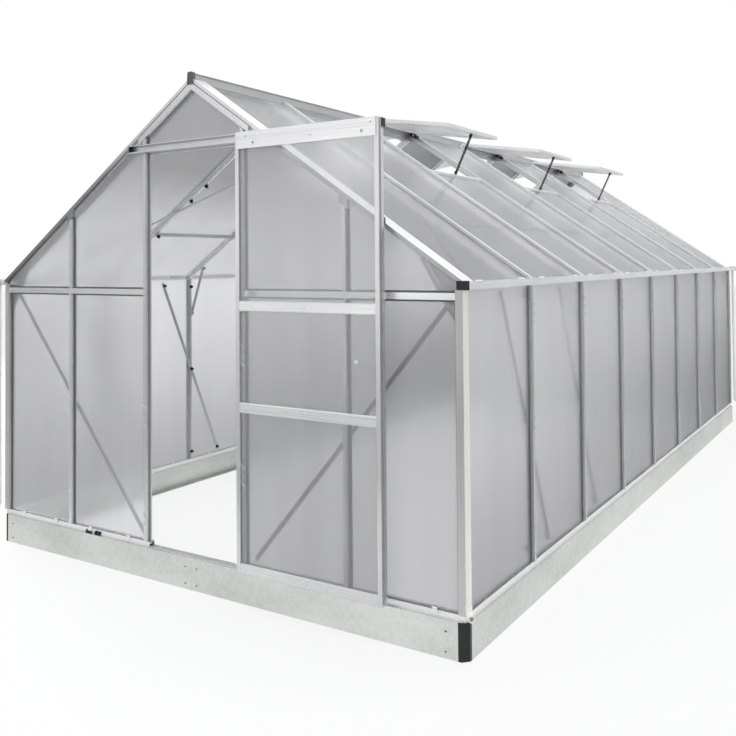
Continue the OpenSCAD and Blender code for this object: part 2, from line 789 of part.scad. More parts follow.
// Everything beyond the gusset's long edge, where the brace stops
module past_gusset() {
    room = 4 * fit;
    along_y(fin_in - cut, brace_in + cut)
        polygon([gusset_tip + (gusset_tip - gusset_head()) - [room, 0], gusset_head() - [room, 0],
            gusset_head() + [2 * gusset_reach, 0], gusset_tip + [2 * gusset_reach, -gusset_reach]]);
}

module gable_brace() {
    foot = [door_post_x + flange_w / 2 + brace_w, sill_top + brace_w];
    head = [gusset_x - gusset_drop / 3, gusset_z - gusset_drop / 3];
    difference() {
        translate([0, brace_in, 0]) rotate([90, 0, 0]) flat_bar(foot, head, brace_t);
        past_gusset();
    }
}

module gable_braces() color([0.55, 0.55, 0.56]) site() both_ends() both_sides() gable_brace();

module corner_gussets() color([0.5, 0.5, 0.51]) site() both_ends() both_sides() gusset();

// Roof brace under the rafters, from the front eave corner to the ridge two bays in
module roof_braces() color([0.55, 0.55, 0.56]) site()
    both_sides() on_slope()
        translate([0, 0, panel_inset - brace_in])
            flat_bar([slope_l - roof_brace_end, bay / 4], [roof_brace_end, 2 * bay - 2 * brace_w], brace_t);

// Knee brace beside the fins of a wall bar and of the rafter over it
module knee_braces() color([0.45, 0.45, 0.46]) site()
    both_sides() for (k = vent_bays)
        translate([0, k * bay + fin_w / 2 + brace_t, 0]) rotate([90, 0, 0])
            flat_bar([half_w - knee_seat, eave_h - knee_drop],
                [half_w - knee_in, roof_z(half_w - knee_in, panel_inset - knee_seat)], brace_t);

// Panels
module wall_panels() color([0.82, 0.84, 0.86, 0.6]) site()
    both_sides() for (k = [0 : bays - 1]) {
        y0 = k == 0 ? core_edge : k * bay + panel_edge;
        y1 = k == bays - 1 ? base_l - core_edge : (k + 1) * bay - panel_edge;
        translate([half_w - seat_in, y0, groove_z]) cube([panel_t, y1 - y0, eave_h - fit - groove_z]);
    }

module roof_panels() color([0.88, 0.89, 0.9, 0.6]) site()
    both_sides() for (k = [0 : bays - 1]) {
        y0 = k == 0 ? core_edge : k * bay + panel_edge;
        y1 = k == bays - 1 ? base_l - core_edge : (k + 1) * bay - panel_edge;
        vented = len(search(k, vent_bays)) > 0;
        u0 = vented ? vent_sill_u + vent_sill_w : 0;
        intersection() {
            on_slope() translate([u0, y0, -panel_t]) cube([slope_l + drip - u0, y1 - y0, panel_t]);
            roof_space();
        }
    }

// Panel of a gable, drawn as an outline in (x, z)
module gable_panel(points) along_y(panel_inset, seat_in) polygon(points);

module gable_side_panels() {
    strips = [[gable_bar_x + panel_edge, half_w - core_edge],
        [door_post_x + panel_edge, gable_bar_x - panel_edge]];
    low = eave_rail_z - panel_edge;
    high = eave_rail_z + panel_edge;
    for (s = strips) {
        gable_panel([[s[0], groove_z], [s[1], groove_z], [s[1], low], [s[0], low]]);
        gable_panel([[s[0], high], [s[1], high], [s[1], roof_z(s[1], rake_panel_n)],
            [s[0], roof_z(s[0], rake_panel_n)]]);
    }
}

// Panel between the door posts from a rail up to the ridge
module gable_top_panel(z) {
    side = door_post_x - panel_edge;
    low = z + panel_edge;
    gable_panel([[-side, low], [side, low], [side, roof_z(side, rake_panel_n)],
        [0, roof_z(0, rake_panel_n)], [-side, roof_z(side, rake_panel_n)]]);
}

module front_gable_panels() color([0.8, 0.82, 0.84, 0.6]) site() {
    both_sides() gable_side_panels();
    gable_top_panel(header_z);
}

module rear_gable_panels() color([0.8, 0.82, 0.84, 0.6]) site() at_rear() {
    side = door_post_x - panel_edge;
    both_sides() gable_side_panels();
    gable_top_panel(eave_rail_z);
    gable_panel([[-side, groove_z], [side, groove_z], [side, eave_rail_z - panel_edge],
        [-side, eave_rail_z - panel_edge]]);
}

// Roof vents, hinged at the ridge and held open
module at_vents() both_sides() for (k = vent_bays) translate([0, k * bay, 0]) children();

module on_vent() translate([hinge_x, vent_side, hinge_z]) rotate([0, vent_fall, 0]) children();

module vent_frames() color([0.9, 0.9, 0.9]) site() at_vents() on_vent() {
    glass = [vent_l - 2 * vent_bar_w, vent_w - 2 * vent_bar_w];
    translate([0, 0, -vent_t]) difference() {
        cube([vent_l, vent_w, vent_t]);
        translate([vent_bar_w + vent_ledge, vent_bar_w + vent_ledge, -cut])
            cube([glass[0] - 2 * vent_ledge, glass[1] - 2 * vent_ledge, vent_t + 2 * cut]);
        translate([vent_bar_w, vent_bar_w, vent_t / 3]) cube([glass[0], glass[1], vent_t]);
    }
}

module vent_panels() color([0.88, 0.89, 0.9, 0.6]) site() at_vents() on_vent()
    translate([vent_bar_w + fit, vent_bar_w + fit, vent_t / 3 - vent_t])
        cube([vent_l - 2 * vent_bar_w - 2 * fit, vent_w - 2 * vent_bar_w - 2 * fit, panel_t]);

// Sill bar at the top of the short roof panel under a vent
module vent_sills() color([0.85, 0.85, 0.86]) site() at_vents()
    on_slope() translate([vent_sill_u, 0, 0]) {
        end = cap_w / 2 + vent_sill_clear;
        between = bay - 2 * end;
        translate([0, panel_edge, -panel_t]) cube([vent_sill_w - fit, bay - 2 * panel_edge, panel_t]);
        translate([0, end, -fit]) cube([vent_sill_w - fit, between, vent_sill_rise + fit]);
        translate([0, end, 0]) cube([vent_sill_w + vent_sill_lip, between, flange_t]);
    }

// Stay from the sill up to the vent's free edge, cut to both faces
module vent_stays() color([0.1, 0.1, 0.1]) site() at_vents() {
    foot_u = vent_sill_u + vent_sill_w / 2;
    foot = [foot_u * cos(pitch), apex_z - foot_u * sin(pitch)];
    head_u = vent_l - vent_bar_w / 2;
    head = [hinge_x + head_u * cos(vent_fall), hinge_z - head_u * sin(vent_fall)];
    run = head - foot;
    difference() {
        translate([foot[0], bay / 2 + stay_t / 2, foot[1]]) rotate([90, 0, 0])
            rotate([0, 0, atan2(run[1], run[0])]) translate([0, -stay_w / 2, 0])
                cube([norm(run), stay_w, stay_t]);
        on_slope() translate([0, 0, vent_sill_rise + fit - far]) cube([slope_l, bay, far]);
        on_vent() translate([0, -vent_side, -vent_t - fit]) cube([far, bay, far]);
    }
}

// Sliding door, drawn where it stands open
module door_place() site() translate([door_open_x, 0, 0]) children();

// Stile on the right of the leaf: a groove for the panels inside, an open slot on the outer side, and a
// hollow back that ends under the track
module stile_section(depth) {
    hollow_y = stile_lip + stile_slot_w + stile_wall;
    difference() {
        square([stile_w, depth]);
        translate([-cut, rail_face_t]) square([stile_groove + cut, panel_t + fit]);
        translate([stile_w - stile_slot_d, stile_lip]) square([stile_slot_d + cut, stile_slot_w]);
        if (depth > hollow_y + stile_wall)
            translate([stile_wall, hollow_y])
                square([stile_w - 2 * stile_wall, depth - hollow_y - stile_wall]);
    }
}

module stile() {
    back_top = track_z0 - track_gap;
    translate([door_w / 2 - stile_w, leaf_front, 0]) {
        translate([0, 0, door_z]) linear_extrude(back_top - door_z) stile_section(stile_d);
        translate([0, 0, back_top]) linear_extrude(door_top - back_top) stile_section(door_d);
    }
}

module door_stiles() color([0.9, 0.9, 0.9]) door_place() both_sides() stile();

module door_top_plate() color([0.92, 0.93, 0.93]) door_place()
    along_x(stile_w / 2 - door_w / 2, door_w / 2 - stile_w / 2) difference() {
        translate([plate_front, door_top - door_plate_h]) square([door_plate_t, door_plate_h]);
        for (drop = [plate_groove_drop, plate_groove_drop + plate_groove_pitch])
            translate([plate_front - cut, door_top - drop - plate_groove_h])
                square([plate_groove_d + cut, plate_groove_h]);
    }

module door_rail(z, web_low, web_high) {
    face_h = door_rail_h / 2;
    flat_h = face_h - rail_bevel;
    along_x(-door_clear, door_clear) translate([leaf_front, z])
        polygon([[0, -flat_h], [rail_bevel, -face_h], [rail_face_t, -face_h], [rail_face_t, face_h],
            [rail_bevel, face_h], [0, flat_h]]);
    translate([-door_clear, leaf_front + rail_face_t - fit, z + web_low])
        cube([2 * door_clear, panel_t + 2 * fit, web_high - web_low]);
    translate([-door_clear, leaf_front + rail_face_t + panel_t + fit, z - rail_back_h / 2])
        cube([2 * door_clear, cap_t, rail_back_h]);
}

module door_rails() color([0.9, 0.9, 0.9]) door_place() {
    for (z = [door_z + door_rail_h / 2, door_rail_lower, door_rail_upper])
        door_rail(z, -rail_web_h / 2, rail_web_h / 2);
    difference() {
        translate([-door_clear, leaf_front, door_top - door_top_rail_h])
            cube([2 * door_clear, door_d, door_top_rail_h]);
        translate([-door_clear - cut, leaf_front + cap_t, door_top - door_top_rail_h + cap_t])
            cube([2 * door_clear + 2 * cut, door_d - 2 * cap_t, door_top_rail_h - 2 * cap_t]);
        both_sides() roller_axis() cylinder(d = axle_d + 2 * fit, h = far, center = true);
    }
}

module door_panels() color([0.82, 0.84, 0.86, 0.6]) door_place() {
    half = door_w / 2 - stile_w + stile_groove - fit;
    levels = [door_z + door_rail_h / 2, door_rail_lower, door_rail_upper,
        door_top - door_top_rail_h];
    for (i = [0 : 2]) {
        z0 = levels[i] + rail_web_h / 2 + fit;
        z1 = levels[i + 1] - (i == 2 ? 0 : rail_web_h / 2) - fit;
        translate([-half, door_panel_y, z0]) cube([2 * half, panel_t, z1 - z0]);
    }
}

module roller_axis()
    translate([door_w / 2 - roller_in, 0, roller_z]) rotate([90, 0, 0]) children();

module door_rollers() color([0.15, 0.15, 0.15]) door_place() both_sides() roller_axis() {
    translate([0, 0, -roller_y - roller_w / 2]) cylinder(d = roller_d, h = roller_w);
    translate([0, 0, -roller_y]) cylinder(d = axle_d, h = roller_y - leaf_front);
}

base_front();
base_rear();
base_left();
base_right();
base_corner_caps();
base_joiners();
end_sills();
side_sills();
threshold();
corner_posts();
wall_bars();
gutters();
gutter_end_caps();
downpipes();
ridge_beam();
ridge_end_caps();
rafters();
front_verges();
rear_verges();
front_gable_bars();
door_posts();
rear_gable_bars();
front_eave_rails();
rear_eave_rails();
door_header();
door_track();
door_track_caps();
purlins();
wall_braces();
gable_braces();
roof_braces();
knee_braces();
corner_gussets();
wall_panels();
roof_panels();
front_gable_panels();
rear_gable_panels();
vent_frames();
vent_panels();
vent_sills();
vent_stays();
door_stiles();
door_top_plate();
door_rails();
door_panels();
door_rollers();
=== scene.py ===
# %% [markdown]
# # Greenhouse on a galvanised base
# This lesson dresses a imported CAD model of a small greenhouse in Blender: an aluminium frame, translucent
# twin-wall sheets, a galvanised base and a sliding door. The CAD model is the fixed frame. It is loaded
# first, and nothing in it is moved. Its bodies are `root`, which stands still, and `door`, which slides.

# %% Load the frame
import json
import math

import bmesh
import bpy
from mathutils import Matrix, Vector

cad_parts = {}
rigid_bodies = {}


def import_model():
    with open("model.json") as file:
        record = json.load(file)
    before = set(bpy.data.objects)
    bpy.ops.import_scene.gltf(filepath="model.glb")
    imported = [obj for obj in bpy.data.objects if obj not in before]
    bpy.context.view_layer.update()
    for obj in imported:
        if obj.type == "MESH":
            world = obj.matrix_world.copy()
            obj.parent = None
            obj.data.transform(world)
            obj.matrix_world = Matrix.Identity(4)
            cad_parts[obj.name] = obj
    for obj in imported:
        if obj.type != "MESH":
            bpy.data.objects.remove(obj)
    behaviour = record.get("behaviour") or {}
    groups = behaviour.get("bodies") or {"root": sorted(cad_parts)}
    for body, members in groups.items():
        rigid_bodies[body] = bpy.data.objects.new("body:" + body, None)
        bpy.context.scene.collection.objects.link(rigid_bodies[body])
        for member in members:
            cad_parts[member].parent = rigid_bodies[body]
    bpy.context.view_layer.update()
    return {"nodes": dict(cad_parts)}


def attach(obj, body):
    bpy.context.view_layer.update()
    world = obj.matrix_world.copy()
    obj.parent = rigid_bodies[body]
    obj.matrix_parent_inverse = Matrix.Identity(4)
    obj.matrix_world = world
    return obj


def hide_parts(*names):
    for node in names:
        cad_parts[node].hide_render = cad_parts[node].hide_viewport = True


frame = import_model()
nodes = frame["nodes"]

# %% [markdown]
# ## Size of the building
# The camera, the sheets and the fittings take their places from the base, so its corners are measured
# once. The long side has eight equal bays.


# %% Size of the building
def box_of(points):
    """The lowest and the highest corner of a list of points."""
    return tuple(Vector([pick(p[i] for p in points) for i in range(3)]) for pick in (min, max))


def node_points(name):
    """The corners of a CAD node's mesh in the shared frame."""
    return [nodes[name].matrix_world @ v.co for v in nodes[name].data.vertices]


BAYS = 8
base_low, base_high = box_of(node_points("base_front"))
front_y, rear_y = base_low.y, box_of(node_points("base_rear"))[1].y
middle_y = (front_y + rear_y) / 2
half_width = base_high.x
bay = (rear_y - front_y) / BAYS
print("base from", round(front_y, 4), "to", round(rear_y, 4), "bay", round(bay, 4), "m")

# %% [markdown]
# ## Camera
# The picture was taken from the right of the door, a little above half height, with the building turned by
# about 31 degrees. A pinhole camera was fitted to the corners of the base, the eaves and the ridge. Its
# middle axis doesn't pass through the middle of the picture, so the camera also gets a lens shift.

# %% Camera
PICTURE_PX = 736
FOCAL_PX = 840.596
AXIS_PX = (399.328, 242.372)
SENSOR_MM = 36.0
EYE_X, EYE_BEFORE_BASE, EYE_HEIGHT = 2.52204, 2.49568, 1.32350
YAW_PITCH_ROLL = (31.3304, 1.3426, -0.5384)
camera_place = Vector((EYE_X, front_y - EYE_BEFORE_BASE, EYE_HEIGHT))
yaw, pitch, roll = (math.radians(angle) for angle in YAW_PITCH_ROLL)
ahead = Vector((-math.sin(yaw), math.cos(yaw), 0))
right = Vector((math.cos(yaw), math.sin(yaw), 0))
up = Vector((0, 0, 1))
look = ahead * math.cos(pitch) + up * math.sin(pitch)
tilted_up = up * math.cos(pitch) - ahead * math.sin(pitch)
camera_x = right * math.cos(roll) + tilted_up * math.sin(roll)
camera_y = tilted_up * math.cos(roll) - right * math.sin(roll)
camera_data = bpy.data.cameras.new("camera")
camera_data.sensor_width = SENSOR_MM
camera_data.lens = FOCAL_PX / PICTURE_PX * SENSOR_MM
camera_data.shift_x = (PICTURE_PX / 2 - AXIS_PX[0]) / PICTURE_PX
camera_data.shift_y = (AXIS_PX[1] - PICTURE_PX / 2) / PICTURE_PX
camera = bpy.data.objects.new("camera", camera_data)
camera_turn = Matrix((camera_x, camera_y, -look)).transposed().to_4x4()
camera.matrix_world = Matrix.Translation(camera_place) @ camera_turn
scene = bpy.context.scene
scene.collection.objects.link(camera)
scene.camera = camera
scene.view_settings.view_transform = "Standard"
print("camera lens", round(camera_data.lens, 2), "mm")

# %% [markdown]
# ## Node helpers
# Every material below is a node tree that is built by hand. A few helpers keep that short. One sets the
# inputs of a node, whether they are numbers or links, and the others make the nodes that come again and
# again.


# %% Node helpers
def feed(tree, target, inputs):
    """Set a node's inputs: each is a number, a vector, a colour or another node's socket."""
    for key, value in inputs.items():
        if isinstance(value, bpy.types.NodeSocket):
            tree.links.new(value, target.inputs[key])
        else:
            target.inputs[key].default_value = value


def node(tree, kind, inputs=None, **values):
    """A new node with its own values and its inputs set."""
    made = tree.nodes.new(kind)
    for name, value in values.items():
        setattr(made, name, value)
    feed(tree, made, inputs or {})
    return made


def calculated(tree, operation, first, second=0.0):
    """The result of a Math node on two numbers or sockets."""
    return node(tree, "ShaderNodeMath", {0: first, 1: second}, operation=operation).outputs[0]


def mapped(tree, value, span, result=(0.0, 1.0), **values):
    """The value, with its span mapped on the range of the result."""
    inputs = {"Value": value, "From Min": span[0], "From Max": span[1],
              "To Min": result[0], "To Max": result[1]}
    return node(tree, "ShaderNodeMapRange", inputs, **values).outputs["Result"]


def mixed(tree, factor, first, second):
    """A colour between two, which are sockets or triples, as the factor goes from 0 to 1."""
    ends = [c if isinstance(c, bpy.types.NodeSocket) else (*c, 1) for c in (first, second)]
    inputs = {"Factor": factor, "A": ends[0], "B": ends[1]}
    return node(tree, "ShaderNodeMix", inputs, data_type="RGBA").outputs["Result"]


def weighed(tree, share, first, second):
    """A number between two, with the share of the second."""
    inputs = {"Factor": share, "A": first, "B": second}
    return node(tree, "ShaderNodeMix", inputs, data_type="FLOAT").outputs["Result"]


def along_way(tree, place, way):
    """How far a place lies in a direction."""
    return node(tree, "ShaderNodeVectorMath", {0: place, 1: way}, operation="DOT_PRODUCT").outputs["Value"]


def object_place(tree):
    return node(tree, "ShaderNodeTexCoord").outputs["Object"]


def object_axis(tree, axis):
    """The X, Y or Z of a point in the shared frame."""
    return node(tree, "ShaderNodeSeparateXYZ", {0: object_place(tree)}).outputs[axis]


SMOOTH = {"interpolation_type": "SMOOTHSTEP"}
print("node helpers ready")

# %% [markdown]
# ## Stage
# The building stands on a plain white floor in front of nothing. A floor that is only lit would have to be
# overexposed to turn white, and the object with it. So the floor and the world show plain white to the
# camera, and the light that falls on the object is set apart. A fifth of the floor's tone still comes from
# its shading, so the object keeps a soft shadow. White all round would leave the bars without shape. So
# the floor outside the picture is grey to mirrored rays and to the light, and the world has two soft
# fields, which only show as a tone in the metal and on the sheets: a small dark one to the left of the
# door, which the left verge mirrors, and a wide pale one far behind on the right, which the long side
# mirrors.


# %% Floor
def camera_ray(tree):
    return node(tree, "ShaderNodeLightPath").outputs["Is Camera Ray"]


def seen_directly(tree):
    """A factor that is 1 for camera, glossy and transmission rays, and 0 for the rays that light things."""
    rays = node(tree, "ShaderNodeLightPath").outputs
    some = calculated(tree, "MAXIMUM", rays["Is Camera Ray"], rays["Is Glossy Ray"])
    return calculated(tree, "MAXIMUM", some, rays["Is Transmission Ray"])


WHITE = (1.0, 1.0, 1.0)
FLOOR_HALF, FLOOR_DROP = 40.0, 0.001
FLOOR_GLOW_SHARE = 0.8
FLOOR_WHITE, FLOOR_GREY = (0.9, 0.9, 0.9), (0.38, 0.38, 0.385)
PICTURE_SIDES = (math.radians(6), math.radians(60))
PICTURE_NEAR = 2.0
GREY_FADE = 0.7
floor_corners = [(x * FLOOR_HALF, y * FLOOR_HALF, -FLOOR_DROP)
                 for x, y in ((-1, -1), (1, -1), (1, 1), (-1, 1))]
floor_mesh = bpy.data.meshes.new("floor")
floor_mesh.from_pydata(floor_corners, [], [(0, 1, 2, 3)])
floor = bpy.data.objects.new("floor", floor_mesh)
scene.collection.objects.link(floor)

floor_paint = bpy.data.materials.new("floor_paint")
floor_paint.use_nodes = True
tree = floor_paint.node_tree
tree.nodes.clear()
right_way, left_way = (Vector((-math.sin(a), math.cos(a), 0)) for a in PICTURE_SIDES)
picture_edges = ((camera_place, Vector((-right_way.y, right_way.x, 0))),
                 (camera_place, Vector((left_way.y, -left_way.x, 0))),
                 (camera_place + ahead * PICTURE_NEAR, ahead))
in_picture = 1.0
for through, inward in picture_edges:
    edge = through.dot(inward)
    fade = mapped(tree, along_way(tree, object_place(tree), inward), (edge - GREY_FADE, edge), **SMOOTH)
    in_picture = calculated(tree, "MULTIPLY", in_picture, fade)
shown_white = calculated(tree, "MAXIMUM", in_picture, camera_ray(tree))
matt = node(tree, "ShaderNodeBsdfDiffuse", {"Color": mixed(tree, shown_white, FLOOR_GREY, FLOOR_WHITE)})
glow = node(tree, "ShaderNodeEmission", {"Color": mixed(tree, shown_white, FLOOR_GREY, WHITE)})
glow_share = calculated(tree, "MULTIPLY", seen_directly(tree), FLOOR_GLOW_SHARE)
blend = node(tree, "ShaderNodeMixShader", {0: glow_share, 1: matt.outputs[0], 2: glow.outputs[0]})
node(tree, "ShaderNodeOutputMaterial", {0: blend.outputs[0]})
floor_mesh.materials.append(floor_paint)
print("floor half width", FLOOR_HALF, "m")

# %% [markdown]
# Each field of the world is a direction, the angle in degrees of its even middle, the angle of its faded
# edge, and its colour.

# %% World
AMBIENT_STRENGTH = 0.9
SKY_WHITE_TO = 0.45
SKY_TOP_COLOUR = (0.42, 0.43, 0.45)
FRONT_FIELD = ((-0.899, -0.438, 0.06), 9, 17, (0.14, 0.14, 0.15))
SIDE_FIELD = ((0.62, 0.78, 0.04), 24, 42, (0.90, 0.90, 0.92))
world = bpy.data.worlds.new("studio")
scene.world = world
world.use_nodes = True
tree = world.node_tree
tree.nodes.clear()
sky_way = node(tree, "ShaderNodeTexCoord").outputs["Generated"]
sky_height = node(tree, "ShaderNodeSeparateXYZ", {0: sky_way}).outputs["Z"]
sky = node(tree, "ShaderNodeValToRGB", {"Fac": sky_height})
sky.color_ramp.elements[0].position = SKY_WHITE_TO
sky.color_ramp.elements[0].color = (*WHITE, 1)
sky.color_ramp.elements[1].color = (*SKY_TOP_COLOUR, 1)
lit = node(tree, "ShaderNodeBackground", {"Color": sky.outputs["Color"], "Strength": AMBIENT_STRENGTH})
tone = WHITE
for way, core, edge, colour in (FRONT_FIELD, SIDE_FIELD):
    span = (math.cos(math.radians(edge)), math.cos(math.radians(core)))
    tone = mixed(tree, mapped(tree, along_way(tree, sky_way, way), span, **SMOOTH), tone, colour)
shown = node(tree, "ShaderNodeBackground", {"Color": mixed(tree, camera_ray(tree), tone, WHITE)})
blend = node(tree, "ShaderNodeMixShader", {0: seen_directly(tree), 1: lit.outputs[0], 2: shown.outputs[0]})
node(tree, "ShaderNodeOutputWorld", {0: blend.outputs[0]})
print("ambient light", AMBIENT_STRENGTH)

# %% [markdown]
# ## Lamps
# Most of the light is the even world light. Four large soft lamps give the faces slightly different tones:
# one over the roof, which makes the tops of the bars white, one far out on the left, which shines through
# the left wall, a weak one on the right, and one in front, which the rails and the plate of the door
# mirror.


# %% Lamps
def soft_lamp(name, place, aim, size, watts):
    lamp = bpy.data.lights.new(name, "AREA")
    lamp.shape = "DISK"
    lamp.size = size
    lamp.energy = watts
    holder = bpy.data.objects.new(name, lamp)
    toward = Vector(aim) - Vector(place)
    holder.matrix_world = Matrix.Translation(place) @ toward.to_track_quat("-Z", "Y").to_matrix().to_4x4()
    scene.collection.objects.link(holder)


soft_lamp("top_lamp", place=(2.0, -2.0, 7.0), aim=(0, 0, 1.0), size=5.0, watts=190)
soft_lamp("left_lamp", place=(-8.0, -0.5, 3.2), aim=(0, -1.0, 1.0), size=4.0, watts=500)
soft_lamp("right_lamp", place=(8.0, -2.0, 3.0), aim=(1.0, 0, 1.0), size=4.0, watts=20)
soft_lamp("front_lamp", place=(-2.7, -7.4, 1.4), aim=(0.6, -2.4, 1.2), size=3.0, watts=16)

# %% [markdown]
# ## Metals
# The bars are mill-finish aluminium: bright and slightly satin, with fine drawing lines along each
# extrusion. A metal shows its surroundings, so on a white stage most of its look comes from roughness.
# Noise that is stretched along the bar gives the drawing lines, and a second, wide noise gives the faint
# cloudiness of handled metal. The bars don't all look equally bright, so each kind has a tone of its own,
# which is painted light and shade: it stands for how much light the bars of that kind catch and mirror, as
# the metal is the same. The tone can also change across the building, as painted shade on the front of
# the verges, or near the ground, as painted shade at the foot of the door.


# %% Finish helpers
def finish(name, colour, metallic, roughness):
    """A new material with its main values set on the shader's own sockets."""
    material = bpy.data.materials.new(name)
    material.use_nodes = True
    shader = material.node_tree.nodes["Principled BSDF"]
    values = {"Base Color": (*colour, 1), "Metallic": metallic, "Roughness": roughness}
    feed(material.node_tree, shader, values)
    return material, material.node_tree, shader


def stretched_noise(tree, scales, detail=3.0):
    """Noise on Object coordinates with its own scale along X, Y and Z."""
    stretch = node(tree, "ShaderNodeMapping", {"Vector": object_place(tree), "Scale": scales})
    inputs = {"Vector": stretch.outputs["Vector"], "Scale": 1.0, "Detail": detail}
    return node(tree, "ShaderNodeTexNoise", inputs).outputs["Fac"]


NOISE_SPAN = (0.3, 0.7)


def spread(tree, noise, low=0.0, high=1.0):
    """Noise, which lies mostly in the middle of its range, spread over the range from low to high."""
    return mapped(tree, noise, NOISE_SPAN, (low, high))


def bumped(tree, shader, height, strength, distance):
    bump = node(tree, "ShaderNodeBump", {"Height": height, "Strength": strength, "Distance": distance})
    feed(tree, shader, {"Normal": bump.outputs["Normal"]})


HALF_SPAN = 1.3
EVEN = ((-HALF_SPAN, 1.0), (HALF_SPAN, 1.0))


def across_tone(tree, stops):
    """A tone that changes from the left to the right, given as pairs of X and tone."""
    share = mapped(tree, object_axis(tree, "X"), (-HALF_SPAN, HALF_SPAN))
    ramp = node(tree, "ShaderNodeValToRGB", {"Fac": share})
    points = ramp.color_ramp.elements
    while len(points) < len(stops):
        points.new(0.5)
    for point, (x, tone) in zip(points, stops):
        point.position = (x + HALF_SPAN) / (2 * HALF_SPAN)
        point.color = (tone, tone, tone, 1)
    return ramp.outputs["Color"]


def rising(tree, low, high, foot, head):
    """A tone that changes with the height above the ground."""
    return mapped(tree, object_axis(tree, "Z"), (low, high), (foot, head), **SMOOTH)


def scaled(tree, colour, *tones):
    """A colour times one tone or more."""
    for tone in tones:
        colour = node(tree, "ShaderNodeVectorMath", {0: colour, 1: tone}, operation="MULTIPLY").outputs[0]
    return colour


print("finish helpers ready")

# %% Aluminium
PLAIN_COLOUR, CLOUD_DARK, CLOUD_LIGHT = (0.83, 0.83, 0.84), (0.78, 0.78, 0.79), (0.87, 0.87, 0.875)
SCALE_ALONG, SCALE_ACROSS, CLOUD_SCALE = 2.0, 420.0, 3.0
LINE_ROUGHNESS = (0.24, 0.38)
LINE_BUMP = (0.06, 0.0004)
# Heights over which the painted shade at a bar's foot fades out.
GROUND_SHADE_ZONE = (0.18, 0.6)


def drawn_aluminium(name, along, tone=1.0, foot=1.0, stops=EVEN, metallic=0.65):
    """Mill-finish aluminium with drawing lines along X, Y or Z (0, 1 or 2), or with a fine grain on sloping
    bars (None). The tone is painted light and shade. The foot is a painted shade near the ground, and the
    stops are painted shade from left to right."""
    plain, dark, light = ([c * tone for c in colour] for colour in (PLAIN_COLOUR, CLOUD_DARK, CLOUD_LIGHT))
    material, tree, shader = finish(name, plain, metallic, 0.3)
    lines = stretched_noise(tree, [SCALE_ALONG if axis == along else SCALE_ACROSS for axis in range(3)])
    clouds = stretched_noise(tree, (CLOUD_SCALE,) * 3, 4.0)
    cloudy = mixed(tree, spread(tree, clouds), dark, light)
    feed(tree, shader, {
        "Roughness": spread(tree, lines, *LINE_ROUGHNESS),
        "Base Color": scaled(tree, cloudy, rising(tree, *GROUND_SHADE_ZONE, foot, 1.0), across_tone(tree, stops))})
    bumped(tree, shader, lines, *LINE_BUMP)
    return material


# Painted shade along the verges: darker on the left and on the lower right slope, full tone near the ridge.
VERGE_SHADE = ((-1.3, 0.42), (-0.55, 0.5), (-0.35, 0.85), (0.0, 1.0), (0.45, 1.0), (0.6, 0.55),
               (1.3, 0.55))
# Each copy's tone is painted light and shade for the bars it goes on: tones above 1 are painted light, tones
# below 1 painted shade, darkest on the ridge, the purlins, the corner posts and the wall bars.
painted_light_y = drawn_aluminium("aluminium_along_y_painted_light", 1, 1.06, metallic=0.45)
white_x = drawn_aluminium("pale_aluminium_along_x", 0, 1.0)
painted_shade_x = drawn_aluminium("aluminium_along_x_painted_shade", 0, 0.88)
deep_painted_shade_y = drawn_aluminium("aluminium_along_y_painted_deep_shade", 1, 0.62)
painted_shade_z = drawn_aluminium("aluminium_along_z_painted_shade", 2, 0.9, metallic=0.4)
side_z = drawn_aluminium("side_aluminium_along_z", 2, 0.72, metallic=0.5)
post_z = drawn_aluminium("post_aluminium_along_z", 2, 0.66, metallic=0.45)
bright_z = drawn_aluminium("bright_aluminium_along_z", 2, 0.82)
door_x = drawn_aluminium("door_aluminium_along_x", 0, 1.0, foot=0.85)
grained = drawn_aluminium("grained_aluminium", None, 0.92, stops=VERGE_SHADE)
painted_light_grained = drawn_aluminium("bright_grained_aluminium", None, 1.08, metallic=0.4)
print("aluminium:", [m.name for m in bpy.data.materials if "aluminium" in m.name])

# %% [markdown]
# The base is hot-dip galvanised sheet, whose zinc sets in large pale crystals, so a Voronoi texture gives
# each crystal its own grey. The braces are plated flat bar, darker and duller. Screws are bright, and too
# small to show more than fine scratches. The spring wire has the same fine scratches, and its near-white,
# mostly matt colour is a painted glint, which stands for the shine of bright steel wire.

# %% Steel
CRYSTAL_SCALE, CRYSTAL_SHARE = 85.0, 0.3
ZINC_DARK, ZINC_LIGHT = (0.54, 0.57, 0.54), (0.74, 0.765, 0.735)
ZINC_ROUGHNESS = (0.36, 0.5)
PLATED_DARK, PLATED_LIGHT = (0.46, 0.46, 0.47), (0.56, 0.56, 0.57)
PLATED_ROUGHNESS = (0.32, 0.5)
MARK_SCALE, SCRATCH_SCALE = 60.0, 300.0


def galvanised_sheet():
    """Hot-dip zinc: large pale crystals, a little green, with soft stains."""
    material, tree, shader = finish("galvanised_sheet", (0.5, 0.53, 0.5), 1.0, 0.42)
    crystals = node(tree, "ShaderNodeTexVoronoi", {"Vector": object_place(tree), "Scale": CRYSTAL_SCALE})
    grey = node(tree, "ShaderNodeSeparateColor", {"Color": crystals.outputs["Color"]})
    stains = stretched_noise(tree, (2.2, 2.2, 5.0), 5.0)
    patches = weighed(tree, CRYSTAL_SHARE, spread(tree, stains), grey.outputs["Red"])
    feed(tree, shader, {"Base Color": mixed(tree, patches, ZINC_DARK, ZINC_LIGHT),
                        "Roughness": mapped(tree, grey.outputs["Green"], (0.0, 1.0), ZINC_ROUGHNESS)})
    bumped(tree, shader, stains, 0.08, 0.004)
    return material


